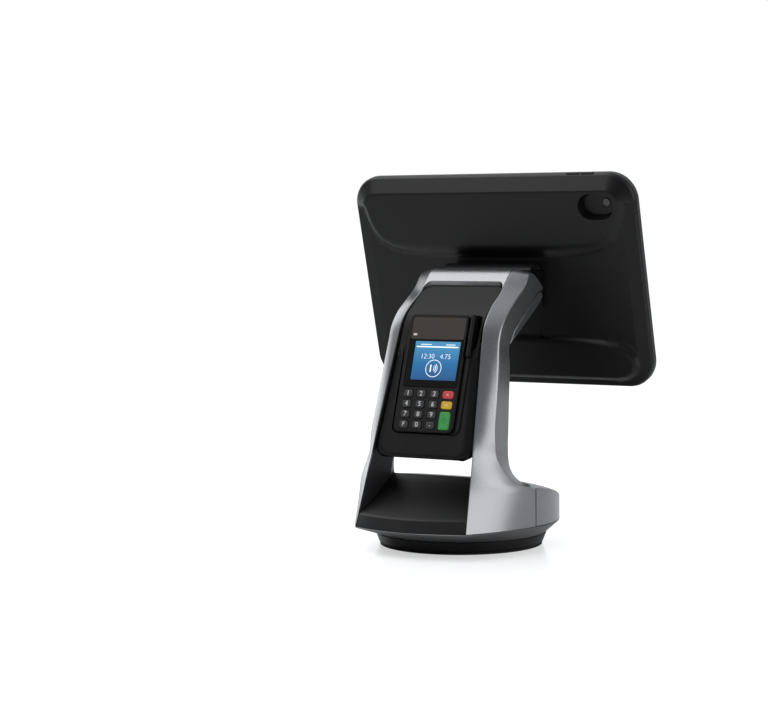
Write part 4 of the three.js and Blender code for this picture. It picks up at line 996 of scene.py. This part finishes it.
art = [words("amount", "12:30   4.75", SCREEN_X - 0.5, SCREEN_HIGH - 13.4, ART_Z + 0.03, 6.2, thin=0.1)]
for name, x0, x1, low, high in (("status_rule", -20.5, 20, 5.4, 4.3), ("status_dash", -16.5, -6, 3.1, 2.5),
                                ("status_dash", 8, 17, 3.1, 2.5)):
    art.append(box_piece(name, SCREEN_X + x0, SCREEN_X + x1, SCREEN_HIGH - low, SCREEN_HIGH - high,
                         ART_Z, ART_Z + ART_THICKNESS))
art.append(ring_arc("sign_ring", SCREEN_X - 1, SIGN_Y, ART_Z, 7.4, 0.55, 0, 360))
for reach in (2.2, 3.7, 5.2):
    art.append(ring_arc("sign_wave", SCREEN_X - 2.6, SIGN_Y, ART_Z, reach, 0.55, -48, 48, steps=14))
art.append(placed(box_piece("sign_card", -3.4, -2.2, -3.2, 3.2, ART_Z, ART_Z + ART_THICKNESS),
                  Matrix.Translation(((SCREEN_X - 1) * MM, SIGN_Y * MM, 0))))
artwork = placed(joined("screen_artwork", *art), face_place)
assign(artwork, "stand", "lit_screen", screen_white)

# ---- keys ----
# Fifteen moulded caps on the rubber mat, each slightly domed, with a printed legend
# that wears before the cap does. Each rides on its own plunger.
KEY_FOOT, KEY_TOP = 1.0, 5.2
caps = {"key_black": finish("key_black", "1e1e20", 0.34, depth=0.05, shade=0.2)}
for name, code in (("key_red", "d23a40"), ("key_yellow", "e0b21c"), ("key_green", "2c9b41")):
    caps[name] = finish(name, code, 0.38, depth=0.05)
legend_ink = finish("legend_ink", "e6e6e6", 0.55, grain=1200, depth=0.0, shade=0.3)
dark_ink = finish("dark_ink", "1c6a2c", 0.55, grain=1200, depth=0.0, shade=0.3)
lettering = {"function": ("F", 0.1, 5.4), "point": (".", 1.4, 7), "cancel": ("x", 0.3, 4.4)}
for label, x, y, width, height, colour in keys:
    body, legend = "key_" + label, "legend_" + label
    key_cap = round_corners(box_piece("cap_" + label, x - width / 2, x + width / 2, y - height / 2,
                                      y + height / 2, KEY_FOOT, KEY_TOP), 1.9, 4)
    key_cap = placed(ease_edges(key_cap, 1.0, 4, 50), face_place)
    assign(smooth(key_cap, 40), body, colour, caps[colour], body)
    if label == "enter":
        mark = ring_arc(legend, x, y, KEY_TOP - 0.02, 1.9, 0.5, 0, 360, steps=24)
    elif label == "clear":
        mark = box_piece(legend, x - 1.6, x + 1.6, y - 0.25, y + 0.25, KEY_TOP - 0.02, KEY_TOP + 0.04)
    else:
        text, rise, size = lettering.get(label, (label, 0.1, 6.0))
        mark = words(legend, text, x, y + rise, KEY_TOP + 0.01, size)
    assign(placed(mark, face_place), body, colour, dark_ink if label == "enter" else legend_ink)

# ---- tilt hinge ----
# A steel tongue runs out of the head to a pin; two ears on the tablet's plate turn
# on it, under a black cover bent round the hinge.
AXIS_Y, AXIS_Z = 60.0, 228.0
HOOD_RADIUS, HOOD_WALL, HOOD_HALF = 15, 2.5, 44
HOOD_START, HOOD_END = 52, 141
case_plastic = finish("case_plastic", "0e0e0f", 0.38, grain=2300, depth=0.1, shade=0.1, gloss=0.05,
                      Specular_IOR_Level=0.3)
paint_solids(steel, "head_tongue", "hinge_pin")
paint_solids(nylon, "hinge_plate")
cover_rings = []
for i in range(25):
    turn = math.radians(mix(HOOD_START, HOOD_END, i / 24))
    inner, outer = ((AXIS_Y + reach * math.cos(turn), AXIS_Z + reach * math.sin(turn))
                    for reach in (HOOD_RADIUS - HOOD_WALL, HOOD_RADIUS))
    cover_rings.append(strip(HOOD_HALF, inner, outer))
hinge_hood = ease_edges(skin("hinge_hood", cover_rings), 0.7, 3, 50)
assign(smooth(hinge_hood), "tablet", "soft_black", case_plastic, "hinge_cover")

# ---- tablet case, customer's side ----
# Soft-touch back moulding: a wide sloped border, a raised upper pod that rolls under
# at its lower edge, a sunk middle band for the hinge, and a lower pod with a crisp edge.
CASE_HALF_X, CASE_HALF_Y, CASE_CORNER = 140, 97.5, 25
BAND_Z, POD_Z, UPPER_POD_Z = 5.0, 9.0, 11.6
EDGE_WIDTH, EDGE_LOW, EDGE_RISE = 1.6, 0.3, 3.0
BAND_SLOPE, POD_SLOPE = 0.155, 0.7
LONG_SIDE, SHORT_SIDE, CORNER_STEPS = 84, 56, 18
tablet_place = Matrix.Translation((0, 79.8 * MM, 227.7 * MM)) @ Matrix.Rotation(
    math.pi / 2 + math.radians(15.1), 4, "X")


def rounded_ring(inset, z):
    """A rounded rectangle, drawn in by the inset, always with the same number of points."""
    hx, hy = CASE_HALF_X - inset, CASE_HALF_Y - inset
    r = max(CASE_CORNER - inset, min(2.0, hy * 0.5))
    points = []
    for cx, cy, start in ((hx - r, hy - r, 0), (-(hx - r), hy - r, 90), (-(hx - r), -(hy - r), 180),
                          (hx - r, -(hy - r), 270)):
        for i in range(CORNER_STEPS):
            turn = math.radians(start + 90 * i / CORNER_STEPS)
            points.append((cx + r * math.cos(turn), cy + r * math.sin(turn)))
        turn = math.radians(start + 90)
        a = (cx + r * math.cos(turn), cy + r * math.sin(turn))
        across = start in (0, 180)
        b = (-a[0], a[1]) if across else (a[0], -a[1])
        steps = LONG_SIDE if across else SHORT_SIDE
        points += [(mix(a[0], b[0], i / steps), mix(a[1], b[1], i / steps)) for i in range(steps)]
    return [(x, y, z) for x, y in points]


upper_edge = [(64, 23.4), (93, 26.7), (106.5, 30.5), (117.6, 37.4), (124.6, 48.4), (128.4, 58.6), (131, 70)]
upper_pod = [(-x, y) for x, y in reversed(upper_edge)] + upper_edge
upper_pod += [(150, 78), (150, 130), (-150, 130), (-150, 78)]
lower_edge = [(13, -50), (38, -50.3), (70, -51), (96.6, -52.9), (112, -55.6), (122, -60.4), (128, -68),
              (129, -76), (125, -84), (117, -89), (108, -91)]
lower_pod = lower_edge + [(-x, y) for x, y in reversed(lower_edge)]


def inside_by(outline, x, y):
    """How far a point lies inside an outline; below zero outside it."""
    nearest, inside = 1e9, False
    for (ax, ay), (bx, by) in zip(outline, outline[1:] + outline[:1]):
        dx, dy = bx - ax, by - ay
        t = min(max(((x - ax) * dx + (y - ay) * dy) / (dx * dx + dy * dy), 0), 1)
        nearest = min(nearest, math.hypot(x - ax - t * dx, y - ay - t * dy))
        if (ay > y) != (by > y) and x < ax + (y - ay) / dy * dx:
            inside = not inside
    return nearest if inside else -nearest


def border_z(d, slope):
    """The border: a quarter round at the case's edge, then a slope on to the band or a pod."""
    if d < EDGE_WIDTH:
        return EDGE_LOW + EDGE_RISE * math.sin(d / EDGE_WIDTH * math.pi / 2)
    return EDGE_LOW + EDGE_RISE + (d - EDGE_WIDTH) * slope


def pod_z(depth_inside, roll, face=POD_Z):
    """A pod's face, rolled off towards its outline over the given width."""
    return BAND_Z + (face - BAND_Z) * math.sin(min(depth_inside / roll, 1) * math.pi / 2)


def back_z(x, y, d):
    """Height of the case's back at a point that lies d inside its edge."""
    height = min(border_z(d, BAND_SLOPE), BAND_Z)
    up, low = inside_by(upper_pod, x, y), inside_by(lower_pod, x, y)
    if up > 0:
        roll = mix(13, 8, min(max((abs(x) - 72) / 50, 0), 1))
        height = max(height, min(border_z(d, POD_SLOPE), pod_z(up, roll, UPPER_POD_Z)))
    if low > 0:
        height = max(height, min(border_z(d, POD_SLOPE), pod_z(low, 5)))
    return height


back_rings = [rounded_ring(2.2, 0), rounded_ring(0.25, 0.15)]
insets = [0, 0.3, 0.7, 1.1, 1.6, 2.4, 3.4, 4.6, 6, 7.5, 9, 10.4, 11.2, 11.8, 12.4, 13.2, 14.5, 16]
insets += [17.5 + 1.35 * i for i in range(58)]
for inset in insets:
    back_rings.append([(x, y, back_z(x, y, inset)) for x, y, _ in rounded_ring(inset, 0)])
case = skin("case_back_moulding", back_rings)
camera_room = round_corners(box_piece("camera_room", 88.5, 123.5, 57.5, 82.5, 2.6, 15), 12.4, 12)
for corner in camera_room.data.vertices:
    if corner.co.z < 5 * MM:
        corner.co.x = mix(corner.co.x, 108 * MM, 0.16)
        corner.co.y = mix(corner.co.y, 74 * MM, 0.24)
cut(case, camera_room)
cut(case, box_piece("notch_room", 34.5, 43.6, -52.5, -45.5, BAND_Z - 0.6, 20))
case = placed(ease_edges(case, 0.5, 2, 55), tablet_place)
assign(smooth(case, 45), "tablet", "soft_black", case_plastic, "case_back")

# ---- tablet, its front frame and buttons ----
# The cashier's side: a bumper frame round the tablet's glass, the home button, the
# volume and power buttons, and the camera in its recess.
FRAME_DEPTH = -9
OPENING_HALF_X, OPENING_HALF_Y = 117, 81.75
frame_rings = [rounded_ring(inset, z) for inset, z in (
    (2.2, 0.1), (0.25, 0.0), (0, -0.2), (0, -5), (0.35, -6.6), (1.2, -8.0), (2.6, -8.8), (4.2, FRAME_DEPTH),
    (15, FRAME_DEPTH), (19, FRAME_DEPTH))]


def opening_ring(inset, z):
    """The frame's square-cornered opening, with as many points as the outer rings."""
    hx, hy = OPENING_HALF_X - inset, OPENING_HALF_Y - inset
    points = []
    for x, y, _ in rounded_ring(20, 0):
        k = min(hx / max(abs(x), 1e-6), hy / max(abs(y), 1e-6))
        points.append((x * k, y * k, z))
    return points


frame_rings += [opening_ring(inset, z) for inset, z in (
    (-0.8, FRAME_DEPTH), (0, -8.4), (0, -7.1), (-4, -7.05), (-4, 0.1))]
bumper = placed(skin("case_front_frame", frame_rings, loop=True), tablet_place)
assign(smooth(bumper, 40), "tablet", "soft_black", case_plastic, "case_frame")

glass = finish("tablet_glass", "0b0c0e", 0.06, grain=700, depth=0.0, shade=0.05, gloss=0.02, Coat_Weight=0.6,
               Coat_Roughness=0.03)
paint_solids(glass, "tablet_glass")
paint_solids(finish("tablet_metal", "b4b6b9", 0.34, depth=0.02, Metallic=0.9), "tablet_body")
paint_solids(nylon, "charging_plug")
for label, x0, x1, y0, y1 in (("volume_up_button", 77.2, 89.2, 93.5, 98.4),
                              ("volume_down_button", 90.8, 102.8, 93.5, 98.4),
                              ("power_button", 136, 140.9, 60, 72)):
    button = ease_edges(box_piece("cap_" + label, x0, x1, y0, y1, -2, 2), 0.8, 3, 50)
    assign(smooth(placed(button, tablet_place)), label, "gloss_black", nylon, label)


def round_piece(name, vertices, radius, depth, centre):
    """A short cylinder on the tablet, with its edges eased."""
    bpy.ops.object.select_all(action="DESELECT")
    bpy.ops.mesh.primitive_cylinder_add(vertices=vertices, radius=radius * MM, depth=depth * MM,
                                        location=[v * MM for v in centre])
    return placed(ease_edges(started(name), 0.3), tablet_place)


home = round_piece("home_button_cap", 48, 5.4, 1.2, (-110.5, 0, -5.9))
assign(smooth(home), "home_button", "gloss_black", nylon, "home_button")
eye = round_piece("camera_eye", 32, 3.4, 1.6, (113.6, 72.25, 3.2))
assign(smooth(eye), "tablet", "dark_glass", glass, "camera_lens")
